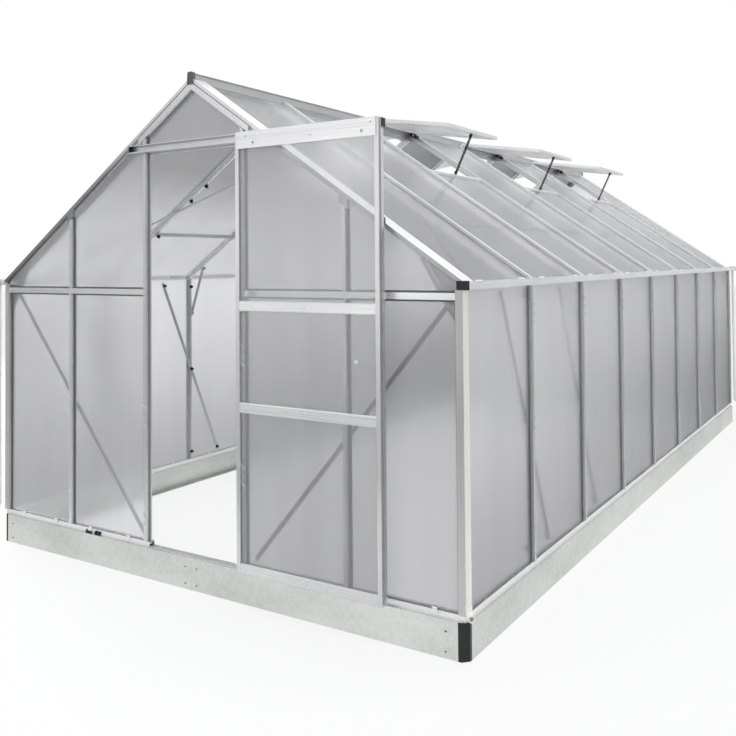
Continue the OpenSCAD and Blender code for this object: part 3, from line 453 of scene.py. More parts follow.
def plated_steel():
    """Zinc-plated flat bar: darker and duller than the aluminium, with rolling marks."""
    material, tree, shader = finish("zinc_plated_steel", (0.5, 0.5, 0.51), 1.0, 0.4)
    marks = stretched_noise(tree, (MARK_SCALE,) * 3, 4.0)
    feed(tree, shader, {"Roughness": spread(tree, marks, *PLATED_ROUGHNESS),
                        "Base Color": mixed(tree, spread(tree, marks), PLATED_DARK, PLATED_LIGHT)})
    return material


def bright_metal(name, colour, metallic, roughness, rough_range):
    """Plated screws or spring wire, with fine scratches."""
    material, tree, shader = finish(name, colour, metallic, roughness)
    scratches = stretched_noise(tree, (SCRATCH_SCALE,) * 3)
    feed(tree, shader, {"Roughness": spread(tree, scratches, *rough_range)})
    return material


galvanised = galvanised_sheet()
zinc_plated = plated_steel()
bright_zinc = bright_metal("bright_zinc", (0.72, 0.72, 0.73), 1.0, 0.25, (0.18, 0.34))
# The wire's near-white, mostly matt colour is a painted glint.
wire_painted_glint = bright_metal("wire_painted_glint", (0.93, 0.93, 0.93), 0.3, 0.2, (0.14, 0.28))
print("steel:", [m.name for m in (galvanised, zinc_plated, bright_zinc, wire_painted_glint)])

# %% [markdown]
# ## Plastics and paint
# The corner caps, gutter ends, track ends, rollers and knobs are black moulded plastic, the ridge ends a
# worn grey one, the downpipes a creamy white tube and the vent stays black painted steel. Each has a fine
# moulded or sprayed grain.

# %% Plastic finishes
GRAIN_SPREAD = 0.06
GRAIN_BUMP = (0.1, 0.0003)
STAIN_SCALE = 14.0


def moulded(name, dark, light, roughness, grain_scale=900.0, shine=0.5):
    material, tree, shader = finish(name, light, 0.0, roughness)
    grain = stretched_noise(tree, (grain_scale,) * 3, 2.0)
    stains = stretched_noise(tree, (STAIN_SCALE,) * 3, 4.0)
    feed(tree, shader, {
        "Specular IOR Level": shine,
        "Roughness": spread(tree, grain, roughness - GRAIN_SPREAD, roughness + GRAIN_SPREAD),
        "Base Color": mixed(tree, spread(tree, stains), dark, light)})
    bumped(tree, shader, grain, *GRAIN_BUMP)
    return material


black_plastic = moulded("black_plastic", (0.006, 0.006, 0.007), (0.014, 0.014, 0.015), 0.3, shine=0.4)
grey_plastic = moulded("grey_plastic", (0.07, 0.072, 0.076), (0.14, 0.142, 0.148), 0.45)
white_pipe = moulded("white_pipe", (0.90, 0.89, 0.84), (0.94, 0.93, 0.89), 0.3)
white_plastic = moulded("white_plastic", (0.82, 0.82, 0.82), (0.9, 0.9, 0.9), 0.35)
black_steel = moulded("black_steel", (0.008, 0.008, 0.008), (0.03, 0.03, 0.03), 0.4, grain_scale=600.0)
print("plastics:", [m.name for m in (black_plastic, grey_plastic, white_pipe, white_plastic, black_steel)])

# %% [markdown]
# ## Twin-wall sheets
# The sheets are two thin skins of polycarbonate with webs between them. They let light through, blur what
# lies behind, and show the webs as faint lines along the flutes. A rough transmissive shader on the solid
# slab does all three: roughness gives the blur, and a fine wave along the sheet gives the flutes. The
# flutes run upright in the walls and down the slope on the roof, so the lines repeat along Y on the sides
# and roof, and along X on the gables and the door. What a sheet shows also depends on what stands behind
# it, so its tone is painted by place, as painted shade and light: it is darker at the foot of the walls and
# the door, to the right on the gables, near the ridge on the left slope, and on the right slope everywhere
# but in a painted light band before each rafter, which stands for the rafter's fin showing through. The
# roof's colours are a painted shade darker than the walls', and the vents' a painted light lighter.

# %% Sheet helpers
FIN_BAND = (0.62, 0.80)
FLUTE_PITCH = 0.0055
WAVE_TURNS = 20
FLUTE_BUMP = (0.03, 0.0006)
STREAKS_ACROSS, STREAKS_ALONG, HAZE_SCALE, HAZE_SHARE = 12.0, 0.5, 1.6, 0.35
BLUR_STREAK = 0.012
SHEET_IOR, COAT_ROUGHNESS, COAT_IOR = 1.12, 0.22, 1.5


def beside_fins(tree, shade):
    """On the right slope, 1 in front of each rafter, a painted light band that stands for its deep fin
    showing through the sheet, and the painted shade in between. On the left slope, 1 all over."""
    bays = mapped(tree, object_axis(tree, "Y"), (front_y, front_y + bay), clamp=False)
    band = mapped(tree, calculated(tree, "FRACT", bays), FIN_BAND, (shade, 1.0), **SMOOTH)
    return calculated(tree, "MAXIMUM", calculated(tree, "LESS_THAN", object_axis(tree, "X"), 0.0), band)


def twin_wall(name, across, clarity, blur, dark, light, rise, stops=EVEN, coat=0.35, fin_shade=1.0):
    """Translucent fluted sheet whose flutes repeat along X or Y (0 or 1). The rise is two heights and the
    tones at them, a painted shade towards the foot. Below the upper height, the tone also changes from the
    left to the right by the stops, a painted shade and light. The fin shade is the painted shade between
    the rafters' painted light bands."""
    low, high, foot, head = rise
    material, tree, shader = finish(name, light, 0.0, blur)
    wave = {"Vector": object_place(tree), "Scale": 2 * math.pi / (WAVE_TURNS * FLUTE_PITCH)}
    flutes = node(tree, "ShaderNodeTexWave", wave, wave_type="BANDS", bands_direction="XY"[across])
    scales = [STREAKS_ACROSS if axis == across else STREAKS_ALONG for axis in range(3)]
    streaks = stretched_noise(tree, scales, 2.0)
    haze = stretched_noise(tree, (HAZE_SCALE,) * 3, 3.0)
    unshaded = mixed(tree, weighed(tree, HAZE_SHARE, spread(tree, streaks), spread(tree, haze)), dark, light)
    # The stops and the rise put painted shade and light on the sheet's own streaky colour.
    shaded = scaled(tree, unshaded, across_tone(tree, stops))
    upward = mixed(tree, rising(tree, low, high, 0.0, 1.0), shaded, unshaded)
    place_tones = (rising(tree, low, high, foot, head), beside_fins(tree, fin_shade))
    feed(tree, shader, {
        "Transmission Weight": clarity, "IOR": SHEET_IOR,
        "Coat Weight": coat, "Coat Roughness": COAT_ROUGHNESS, "Coat IOR": COAT_IOR,
        "Roughness": spread(tree, streaks, blur - BLUR_STREAK, blur + BLUR_STREAK),
        "Base Color": scaled(tree, upward, *place_tones)})
    bumped(tree, shader, flutes.outputs["Fac"], *FLUTE_BUMP)
    return material


print("flutes every", FLUTE_PITCH, "m")

# %% Sheets
# Painted shade and light by place: darker to the right on the gables, darker near the ridge on the left
# slope, lighter near the ridge on the right slope and darker towards its eave.
RIGHT_SHADE = ((-1.3, 1.0), (-0.3, 1.0), (1.0, 0.80), (1.3, 0.78))
LEFT_SLOPE_SHADE = ((-1.3, 1.02), (-0.8, 0.88), (-0.45, 0.50), (-0.02, 0.44), (0.02, 1.12), (0.5, 1.06),
                    (1.3, 0.75))
gable_sheet = twin_wall("twin_wall_gable", 0, 0.84, 0.40, (0.88, 0.88, 0.90), (0.96, 0.96, 0.97),
                        rise=(1.0, 1.35, 0.90, 1.0), stops=RIGHT_SHADE)
door_sheet = twin_wall("twin_wall_door", 0, 0.82, 0.24, (0.90, 0.90, 0.92), (0.96, 0.96, 0.97),
                       rise=(0.15, 1.2, 0.80, 1.0))
side_sheet = twin_wall("twin_wall_side", 1, 0.80, 0.42, (0.88, 0.88, 0.90), (0.96, 0.96, 0.97),
                       rise=(0.15, 1.2, 0.60, 0.98), coat=0.0)
roof_sheet = twin_wall("twin_wall_roof", 1, 0.84, 0.22, (0.78, 0.78, 0.795), (0.86, 0.86, 0.87),
                       rise=(3.0, 4.0, 1.0, 1.0), stops=LEFT_SLOPE_SHADE, coat=0.15, fin_shade=0.77)
vent_sheet = twin_wall("twin_wall_vent", 1, 0.85, 0.30, (0.92, 0.92, 0.93), (0.97, 0.97, 0.975),
                       rise=(1.0, 2.0, 1.0, 1.0))
print("sheets:", [m.name for m in bpy.data.materials if "twin_wall" in m.name])

# %% [markdown]
# ## Finishes on the CAD pieces
# The CAD pieces keep their shapes. Each gets its finish through its material slots. Bars take the
# aluminium whose drawing lines run their way.

# %% Dress the CAD pieces
FINISH_OF = {
    galvanised: ("base_front", "base_rear", "base_left", "base_right", "base_joiners"),
    painted_light_grained: ("rafters", "vent_frames"),
    white_x: ("front_eave_rails", "rear_eave_rails", "end_sills"),
    grained: ("front_verges", "rear_verges"),
    door_x: ("door_rails", "door_top_plate"),
    post_z: ("corner_posts",),
    painted_shade_x: ("threshold", "door_header", "door_track"),
    painted_light_y: ("side_sills", "gutters", "vent_sills"),
    deep_painted_shade_y: ("ridge_beam", "purlins"),
    side_z: ("wall_bars",),
    painted_shade_z: ("front_gable_bars", "rear_gable_bars"),
    bright_z: ("door_posts", "door_stiles"),
    zinc_plated: ("wall_braces", "gable_braces", "roof_braces", "knee_braces", "corner_gussets"),
    black_plastic: ("base_corner_caps", "gutter_end_caps", "door_track_caps", "door_rollers"),
    grey_plastic: ("ridge_end_caps",),
    white_pipe: ("downpipes",),
    black_steel: ("vent_stays",),
    gable_sheet: ("front_gable_panels", "rear_gable_panels"),
    door_sheet: ("door_panels",),
    side_sheet: ("wall_panels",),
    roof_sheet: ("roof_panels",),
    vent_sheet: ("vent_panels",),
}
for coat, names in FINISH_OF.items():
    for name in names:
        slots = nodes[name].material_slots
        for slot in slots:
            slot.material = coat
        if not slots:
            nodes[name].data.materials.append(coat)
left_plain = sorted(set(nodes) - {n for names in FINISH_OF.values() for n in names})
print("finished:", len(nodes) - len(left_plain), "plain:", left_plain)

# %% [markdown]
# ## Where the fittings go
# The bars, braces and vents are separate solids, and each fitting sits on one of them. Their places could
# be typed in, but they would then go wrong if the CAD model changed. So the meshes are split into their
# solids here, and the box round each solid tells where a screw, a clip or a knob belongs. On the roof, the
# slope and the height of its top plane over the middle tell the rest.


# %% Boxes of the CAD solids
def solid_boxes(name):
    """One pair of corners for each solid of a CAD node, sorted from the front to the rear."""
    work = bmesh.new()
    work.from_mesh(nodes[name].data)
    bmesh.ops.remove_doubles(work, verts=work.verts, dist=1e-5)
    waiting = set(work.verts)
    boxes = []
    while waiting:
        reached = [waiting.pop()]
        solid = []
        while reached:
            vert = reached.pop()
            solid.append(vert.co.copy())
            for edge in vert.link_edges:
                other = edge.other_vert(vert)
                if other in waiting:
                    waiting.remove(other)
                    reached.append(other)
        boxes.append(box_of(solid))
    work.free()
    return sorted(boxes, key=lambda box: (round(box[0].y, 3), box[0].x))


def middle(box):
    return (box[0] + box[1]) / 2


def side_of(box):
    """1 for a solid on the right of the building, -1 for one on the left."""
    return 1 if box[0].x > 0 else -1


def inner_x(box):
    return box[0].x if side_of(box) > 0 else box[1].x


def outer_x(box):
    return box[1].x if side_of(box) > 0 else box[0].x


X_AXIS, Y_AXIS, Z_AXIS = Vector((1, 0, 0)), Vector((0, 1, 0)), Vector((0, 0, 1))
ROOF_SLOPE = math.radians(33.86)
ROOF_TOP = 2.0794


def slope_ways(side):
    """The ways out of the roof and down the slope, on the right (1) or the left (-1)."""
    return (Vector((side * math.sin(ROOF_SLOPE), 0, math.cos(ROOF_SLOPE))),
            Vector((side * math.cos(ROOF_SLOPE), 0, -math.sin(ROOF_SLOPE))))


def roof_point(x, y):
    """A point of the roof's top plane."""
    return Vector((x, y, ROOF_TOP - abs(x) * math.tan(ROOF_SLOPE)))


wall_bars = solid_boxes("wall_bars")
rafters = solid_boxes("rafters")
gable_bars = solid_boxes("front_gable_bars") + solid_boxes("door_posts") + solid_boxes("rear_gable_bars")
door_stiles = solid_boxes("door_stiles")
plate_low, plate_high = box_of(node_points("door_top_plate"))
level_rails = [box for box in solid_boxes("door_rails") if box[1].z < plate_low.z]
front_sill = min(solid_boxes("end_sills"), key=lambda box: (box[0].y, box[0].x))
print("wall bars", len(wall_bars), "rafters", len(rafters), "gable bars", len(gable_bars))

# %% [markdown]
# ## Fittings by Geometry Nodes
# Screws, knobs and clips come in dozens. Copying objects by hand would work, but a node tree keeps one
# shape with named sizes and puts it on every point. Each point carries two directions: `facing`, which is
# the fitting's own Z, and `along`, which is its X. The tree ends in real geometry with its finish set, and
# the result is kept as a plain mesh.


# %% Helpers for the trees
class FittingTree:
    """A node tree with named sizes that puts one shape on every point of a mesh."""

    def __init__(self, name, sizes):
        self.tree = bpy.data.node_groups.new(name, "GeometryNodeTree")
        face = self.tree.interface
        face.new_socket("Geometry", in_out="INPUT", socket_type="NodeSocketGeometry")
        self.ids = {}
        for size, value in sizes.items():
            socket = face.new_socket(size, in_out="INPUT", socket_type="NodeSocketFloat")
            socket.default_value = value
            self.ids[size] = socket.identifier
        finish_socket = face.new_socket("Finish", in_out="INPUT", socket_type="NodeSocketMaterial")
        self.ids["Finish"] = finish_socket.identifier
        face.new_socket("Geometry", in_out="OUTPUT", socket_type="NodeSocketGeometry")
        self.given = self.tree.nodes.new("NodeGroupInput")

    def add(self, kind, inputs=None, **values):
        return node(self.tree, kind, inputs, **values)

    def size(self, name):
        return self.given.outputs[name]

    def calculated(self, operation, first, second):
        return calculated(self.tree, operation, first, second)

    def times(self, value, share):
        return self.calculated("MULTIPLY", value, share)

    def half(self, name):
        return self.times(self.size(name), 0.5)

    def vector(self, x=0.0, y=0.0, z=0.0):
        return self.add("ShaderNodeCombineXYZ", {"X": x, "Y": y, "Z": z}).outputs[0]

    def moved(self, geometry, **offset):
        inputs = {"Geometry": geometry, "Translation": self.vector(**offset)}
        return self.add("GeometryNodeTransform", inputs).outputs[0]

    def drum(self, low_radius, high_radius, depth, sides):
        """A round or many-sided piece that stands on z = 0."""
        inputs = {"Vertices": sides, "Radius Bottom": low_radius, "Radius Top": high_radius, "Depth": depth}
        return self.add("GeometryNodeMeshCone", inputs).outputs["Mesh"]

    def block(self, x, y, z):
        """A block that stands on z = 0."""
        cube = self.add("GeometryNodeMeshCube", {"Size": self.vector(x, y, z)}).outputs["Mesh"]
        return self.moved(cube, z=self.times(z, 0.5))

    def joined(self, *pieces):
        join = self.add("GeometryNodeJoinGeometry")
        for piece in pieces:
            self.tree.links.new(piece, join.inputs[0])
        return join.outputs[0]

    def close(self, shape):
        """Put the shape on the points, turn it, make it real and set the finish."""
        turn = None
        for axis, pivot, name in (("Z", "AUTO", "facing"), ("X", "Z", "along")):
            way = self.add("GeometryNodeInputNamedAttribute", {"Name": name}, data_type="FLOAT_VECTOR")
            inputs = {"Vector": way.outputs["Attribute"]}
            if turn:
                inputs["Rotation"] = turn
            align = self.add("FunctionNodeAlignRotationToVector", inputs, axis=axis, pivot_axis=pivot)
            turn = align.outputs[0]
        points = self.add("GeometryNodeMeshToPoints", {"Mesh": self.given.outputs["Geometry"]})
        spread_out = self.add("GeometryNodeInstanceOnPoints",
                              {"Points": points.outputs[0], "Instance": shape, "Rotation": turn})
        real = self.add("GeometryNodeRealizeInstances", {"Geometry": spread_out.outputs[0]})
        coat = self.add("GeometryNodeSetMaterial",
                        {"Geometry": real.outputs[0], "Material": self.size("Finish")})
        self.add("NodeGroupOutput", {0: coat.outputs[0]})


def fit_pieces(name, kind, places, coat, body, slot, **sizes):
    """Run a fitting tree on a list of (place, facing, along) and keep the result as one plain mesh."""
    mesh = bpy.data.meshes.new(name + "_points")
    mesh.from_pydata([place for place, _, _ in places], [], [])
    for column, title in ((1, "facing"), (2, "along")):
        ways = mesh.attributes.new(title, "FLOAT_VECTOR", "POINT")
        for item, row in zip(ways.data, places):
            item.vector = row[column]
    holder = bpy.data.objects.new(name + "_points", mesh)
    scene.collection.objects.link(holder)
    modifier = holder.modifiers.new("fittings", "NODES")
    modifier.node_group = kind.tree
    for size, value in sizes.items():
        modifier[kind.ids[size.replace("_", " ").title()]] = value
    modifier[kind.ids["Finish"]] = coat
    evaluated = holder.evaluated_get(bpy.context.evaluated_depsgraph_get())
    plain = bpy.data.meshes.new_from_object(evaluated)
    plain.name = name
    holder.modifiers.remove(modifier)
    bpy.data.objects.remove(holder)
    piece = bpy.data.objects.new(name, plain)
    scene.collection.objects.link(piece)
    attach(piece, body)
    print(name, len(places), "pieces,", len(plain.polygons), "faces")
    return piece


# %% [markdown]
# ## Screws and bolts
# The base lengths and the door are held by pan-head screws, and the door's hangers by bolts on washers. A
# pan head is a low rim with a narrower crown on it, so two Cone primitives give it. The bolt is a washer
# with a six-sided head. A thin black six-sided dot on a screw's head is painted shade for its socket.

# %% Screw and bolt shapes
PAN_HEIGHT, PAN_SIDES = 0.004, 14
PAN_SHOULDER, PAN_CROWN = 0.92, 0.55
WASHER_SIDES, HEX_SIDES, HEX_TOP = 18, 6, 0.9
pan_screw = FittingTree("pan_screw", {"Head Diameter": 0.012, "Head Height": PAN_HEIGHT})
pan_radius, pan_step = pan_screw.half("Head Diameter"), pan_screw.half("Head Height")
pan_shoulder = pan_screw.times(pan_radius, PAN_SHOULDER)
pan_rim = pan_screw.drum(pan_radius, pan_shoulder, pan_step, PAN_SIDES)
pan_crown = pan_screw.drum(pan_shoulder, pan_screw.times(pan_radius, PAN_CROWN), pan_step, PAN_SIDES)
pan_screw.close(pan_screw.joined(pan_rim, pan_screw.moved(pan_crown, z=pan_step)))

washer_bolt = FittingTree("washer_bolt", {"Washer Diameter": 0.019, "Washer Height": 0.0015,
                                          "Head Diameter": 0.0125, "Head Height": 0.005})
washer_radius, washer_height = washer_bolt.half("Washer Diameter"), washer_bolt.size("Washer Height")
washer = washer_bolt.drum(washer_radius, washer_radius, washer_height, WASHER_SIDES)
hex_radius = washer_bolt.half("Head Diameter")
hex_head = washer_bolt.drum(hex_radius, washer_bolt.times(hex_radius, HEX_TOP),
                            washer_bolt.size("Head Height"), HEX_SIDES)
washer_bolt.close(washer_bolt.joined(washer, washer_bolt.moved(hex_head, z=washer_height)))

socket_shade_dot = FittingTree("screw_socket", {"Diameter": 0.006, "Height": 0.0004})
socket_radius = socket_shade_dot.half("Diameter")
socket_shade_dot.close(socket_shade_dot.drum(socket_radius, socket_radius, socket_shade_dot.size("Height"), HEX_SIDES))
print("screw sizes:", list(pan_screw.ids), "bolt sizes:", list(washer_bolt.ids))

# %% Screws in the base
SEAM_SCREW_OFF = 0.031
CORNER_SCREW_IN = 0.064
SCREW_ROWS = (0.025, 0.092)
BASE_SCREW_HEAD, BASE_SOCKET = 0.014, 0.0075
seams_y = sorted({round(box[1].y, 4) for box in solid_boxes("base_right")})[:-1]
corner_x = half_width - CORNER_SCREW_IN
along_side = [front_y + CORNER_SCREW_IN, rear_y - CORNER_SCREW_IN]
along_side += [seam + step for seam in seams_y for step in (-SEAM_SCREW_OFF, SEAM_SCREW_OFF)]
base_screws = []
for z in SCREW_ROWS:
    for y, out in ((front_y, -Y_AXIS), (rear_y, Y_AXIS)):
        for x in (-SEAM_SCREW_OFF, SEAM_SCREW_OFF, -corner_x, corner_x):
            base_screws.append((Vector((x, y, z)), out, X_AXIS))
    for side in (-1, 1):
        for y in along_side:
            base_screws.append((Vector((side * half_width, y, z)), side * X_AXIS, Y_AXIS))
# Black dots on the screw heads: painted shade for their sockets.
base_socket_shades = [(place + out * PAN_HEIGHT, out, along) for place, out, along in base_screws]
fit_pieces("base_screws", pan_screw, base_screws, bright_zinc, "root", "zinc_steel",
           head_diameter=BASE_SCREW_HEAD)
fit_pieces("base_screw_socket_shades", socket_shade_dot, base_socket_shades, black_plastic, "root", "zinc_steel",
           diameter=BASE_SOCKET)

# %% Screws and bolts on the door
PLATE_SCREW_IN, PLATE_SCREW_DROP = (0.047, 0.022), 0.015
PLATE_MIDDLE_SCREW = (0.037, 0.038)
PLATE_BOLT_IN, PLATE_BOLT_DROP = (0.081, 0.063), 0.044
DOOR_SCREW_HEAD = 0.010


def on_plate(x, drop):
    """A place on the front of the door's top plate, with the ways of a screw there."""
    return Vector((x, plate_low.y, plate_high.z - drop)), -Y_AXIS, X_AXIS


plate_middle = (plate_low.x + plate_high.x) / 2
door_screws = [on_plate(plate_low.x + PLATE_SCREW_IN[0], PLATE_SCREW_DROP),
               on_plate(plate_high.x - PLATE_SCREW_IN[1], PLATE_SCREW_DROP),
               on_plate(plate_middle + PLATE_MIDDLE_SCREW[0], PLATE_MIDDLE_SCREW[1])]
for rail in level_rails:
    door_screws.append((Vector((middle(rail).x, rail[0].y, middle(rail).z)), -Y_AXIS, X_AXIS))
plate_bolts = [on_plate(plate_low.x + PLATE_BOLT_IN[0], PLATE_BOLT_DROP),
               on_plate(plate_high.x - PLATE_BOLT_IN[1], PLATE_BOLT_DROP)]
fit_pieces("door_screws", pan_screw, door_screws, bright_zinc, "door", "zinc_steel",
           head_diameter=DOOR_SCREW_HEAD)
fit_pieces("door_hanger_bolts", washer_bolt, plate_bolts, bright_zinc, "door", "zinc_steel")

# %% [markdown]
# The rails are screwed on through the stiles. Two heads for each rail end sit at the bottom of the slot in
# the stile's outer side, so they only show as dark dots.

# %% Screws in the stiles
STILE_SLOT_FLOOR, STILE_SLOT_MIDDLE = 0.007, 0.010
STILE_SCREW_STEP = 0.013
stile_screws = []
for side, stile in ((-1, door_stiles[0]), (1, door_stiles[1])):
    face_x = stile[0].x if side < 0 else stile[1].x
    for rail in level_rails:
        for step in (-STILE_SCREW_STEP, STILE_SCREW_STEP):
            place = Vector((face_x - side * STILE_SLOT_FLOOR, stile[0].y + STILE_SLOT_MIDDLE,
                            middle(rail).z + step))
            stile_screws.append((place, side * X_AXIS, Z_AXIS))
fit_pieces("stile_screws", pan_screw, stile_screws, bright_zinc, "door", "zinc_steel",
           head_diameter=DOOR_SCREW_HEAD)

# %% [markdown]
# ## Door pull
# The door has no handle bar. A small white button on the middle panel is all that one sees, so it is a
# short round stud that narrows a little towards its face.

# %% Door pull
PULL_TAPER, PULL_SIDES = 0.85, 24
PULL_FROM_PLATE_END, PULL_UP = 0.092, 0.974
pull_tree = FittingTree("button_pull", {"Diameter": 0.016, "Depth": 0.008})
pull_radius = pull_tree.half("Diameter")
pull_face = pull_tree.times(pull_radius, PULL_TAPER)
pull_tree.close(pull_tree.drum(pull_radius, pull_face, pull_tree.size("Depth"), PULL_SIDES))
pull_place = Vector((plate_high.x - PULL_FROM_PLATE_END, solid_boxes("door_panels")[0][0].y, PULL_UP))
fit_pieces("door_pull", pull_tree, [(pull_place, -Y_AXIS, X_AXIS)], white_plastic, "door", "white_pipe")

# %% [markdown]
# ## Black knobs
# Inside, the braces, purlins and knees are held by black plastic knobs on square-necked bolts. One can
# turn them by hand, so each is a collar with a many-sided grip. The same knobs hold the wall bars at both
# ends.

# %% Knob shape
COLLAR_SHARE, COLLAR_SIDES = 0.3, 12
GRIP_FOOT, GRIP_HEAD, GRIP_SIDES = 0.86, 0.66, 8
knob = FittingTree("hand_knob", {"Diameter": 0.020, "Height": 0.014})
knob_radius = knob.half("Diameter")
collar_height = knob.times(knob.size("Height"), COLLAR_SHARE)
collar = knob.drum(knob_radius, knob_radius, collar_height, COLLAR_SIDES)
grip = knob.drum(knob.times(knob_radius, GRIP_FOOT), knob.times(knob_radius, GRIP_HEAD),
                 knob.times(knob.size("Height"), 1 - COLLAR_SHARE), GRIP_SIDES)
knob.close(knob.joined(collar, knob.moved(grip, z=collar_height)))
print("knob sizes:", list(knob.ids))

# %% Knobs on the walls, knees and roof
BRACE_END_IN, BAR_END_IN = 0.02, 0.045
KNEE_FOOT_IN, KNEE_HEAD_IN, KNEE_END_IN = 0.008, 0.012, 0.014
PURLIN_FACING, PURLIN_HALF = Vector((0.55, 0, 0.83)).normalized(), 0.008
RAFTER_KNOB_X, RAFTER_DEPTH = (0.51, 0.615), 0.025
knob_places = []
for box in solid_boxes("wall_braces"):
    centre, half = middle(box), (box[1] - box[0]) / 2
    lean = 1 if centre.y < middle_y else -1
    for t in (-1, 0, 1):
        place = Vector((inner_x(box), centre.y - lean * t * (half.y - BRACE_END_IN),
                        centre.z + t * (half.z - BRACE_END_IN)))
        knob_places.append((place, -side_of(box) * X_AXIS, Y_AXIS))
for box in wall_bars:
    for z in (box[0].z + BAR_END_IN, box[1].z - BAR_END_IN):
        knob_places.append((Vector((inner_x(box), middle(box).y, z)), -side_of(box) * X_AXIS, Y_AXIS))
for box in solid_boxes("knee_braces"):
    low, high = box
    foot_x = outer_x(box) - side_of(box) * KNEE_FOOT_IN
    head_x = inner_x(box) + side_of(box) * KNEE_HEAD_IN
    for x, z in ((foot_x, low.z + KNEE_END_IN), (head_x, high.z - KNEE_END_IN)):
        knob_places.append((Vector((x, high.y, z)), Y_AXIS, Z_AXIS))
for box in solid_boxes("purlins"):
    inward = Vector((-side_of(box) * PURLIN_FACING.x, 0, -PURLIN_FACING.z))
    for rafter in rafters:
        if side_of(rafter) == side_of(box):
            place = middle(box) + inward * PURLIN_HALF
            place.y = middle(rafter).y
            knob_places.append((place, inward, Y_AXIS))
for box in rafters:
    if abs(middle(box).y - front_y - bay) < bay / 4:
        out, _ = slope_ways(side_of(box))
        for x in RAFTER_KNOB_X:
            surface = roof_point(side_of(box) * x, middle(box).y)
            knob_places.append((surface - out * RAFTER_DEPTH, -out, Y_AXIS))
fit_pieces("frame_knobs", knob, knob_places, black_plastic, "root", "black_plastic")

# %% [markdown]
# Four loose-looking knobs also stand on the sill to the left of the door, in two pairs, as on the real
# one.

# %% Knobs on the front sill
SILL_KNOB_X, SILL_KNOB_UP = (-0.648, -0.628, -0.590, -0.570), 0.008
sill_knobs = [(Vector((x, front_sill[0].y, front_sill[0].z + SILL_KNOB_UP)), -Y_AXIS, X_AXIS)
              for x in SILL_KNOB_X]
fit_pieces("sill_knobs", knob, sill_knobs, black_plastic, "root", "black_plastic",
           diameter=0.019, height=0.009)

# %% [markdown]
# ## Wire clips
# Spring wire in a zigzag holds the sheets to the bars: the wire crosses the bar's cap five times and its
# bends press on the sheets. A line of points makes it. The parity of a point's index sends it to one side
# or the other, its distance from the middle sends it up or down, and the line then becomes a round wire.

# %% Wire clip shape
ZIGZAG_POINTS, WIRE_SIDES = 6, 6
zigzag_steps = ZIGZAG_POINTS - 1
wire_clip = FittingTree("wire_clip", {"Length": 0.095, "Half Width": 0.012, "Wire Diameter": 0.003})
wire_radius = wire_clip.half("Wire Diameter")
zigzag = wire_clip.add("GeometryNodeMeshLine", {"Count": ZIGZAG_POINTS}, mode="OFFSET").outputs["Mesh"]
index = wire_clip.add("GeometryNodeInputIndex").outputs[0]
odd = wire_clip.calculated("MODULO", index, 2.0)
parity = wire_clip.calculated("SUBTRACT", wire_clip.times(odd, 2.0), 1.0)
from_middle = wire_clip.calculated("SUBTRACT", index, zigzag_steps / 2)
share_along = wire_clip.calculated("DIVIDE", from_middle, zigzag_steps)
bend = wire_clip.vector(wire_clip.times(share_along, wire_clip.size("Length")),
                        wire_clip.times(parity, wire_clip.size("Half Width")), wire_radius)
bent = wire_clip.add("GeometryNodeSetPosition", {"Geometry": zigzag, "Position": bend}).outputs[0]
wire_line = wire_clip.add("GeometryNodeMeshToCurve", {"Mesh": bent}).outputs[0]
wire_round = wire_clip.add("GeometryNodeCurvePrimitiveCircle",
                           {"Resolution": WIRE_SIDES, "Radius": wire_radius})
wire = wire_clip.add("GeometryNodeCurveToMesh", {
    "Curve": wire_line, "Profile Curve": wire_round.outputs["Curve"], "Fill Caps": True})
wire_clip.close(wire.outputs[0])
print("wire clip sizes:", list(wire_clip.ids))

# %% Wire clips on the bars and the door
CLIP_HEIGHTS = (0.255, 0.680, 1.125)
DOOR_CLIP_IN, DOOR_CLIP_HEIGHTS = 0.030, (0.518, 0.973)
clips = []
for box in wall_bars:
    for z in CLIP_HEIGHTS:
        clips.append((Vector((outer_x(box), middle(box).y, z)), side_of(box) * X_AXIS, Z_AXIS))
for low, high in gable_bars:
    face_y, out = (low.y, -Y_AXIS) if low.y < middle_y else (high.y, Y_AXIS)
    for z in CLIP_HEIGHTS[:2]:
        clips.append((Vector(((low.x + high.x) / 2, face_y, z)), out, Z_AXIS))
fit_pieces("wire_clips", wire_clip, clips, wire_painted_glint, "root", "zinc_steel")
stile_corner = door_stiles[0][0]
door_clips = [(Vector((stile_corner.x + DOOR_CLIP_IN, stile_corner.y, z)), -Y_AXIS, Z_AXIS)
              for z in DOOR_CLIP_HEIGHTS]
fit_pieces("door_clips", wire_clip, door_clips, wire_painted_glint, "door", "zinc_steel", length=0.085)

# %% [markdown]
# ## Sheet clips
# White plastic clips keep the sheets in the sill and at the eave. The sill clip is a block on the sill's
# face with a thin tongue up the sheet. The eave clip is a low block across the foot of a roof sheet. Each
# sheet has two.

# %% Clip shapes
TONGUE_WIDTH, TONGUE_UP = 0.8, 0.75
sill_clip = FittingTree("sill_clip", {"Width": 0.024, "Height": 0.012, "Thickness": 0.006})
clip_height, clip_width = sill_clip.size("Height"), sill_clip.size("Width")
tongue = sill_clip.block(clip_height, sill_clip.times(clip_width, TONGUE_WIDTH), sill_clip.half("Thickness"))
sill_clip.close(sill_clip.joined(sill_clip.block(clip_height, clip_width, sill_clip.size("Thickness")),
                                 sill_clip.moved(tongue, x=sill_clip.times(clip_height, TONGUE_UP))))


def plain_block(name, sizes):
    """A fitting that is a plain block with three sizes, along, across and out."""
    made = FittingTree(name, sizes)
    made.close(made.block(*(made.size(size) for size in sizes)))
    return made


eave_clip = plain_block("eave_clip", {"Length": 0.05, "Depth": 0.014, "Thickness": 0.007})
print("sill clip sizes:", list(sill_clip.ids), "eave clip sizes:", list(eave_clip.ids))

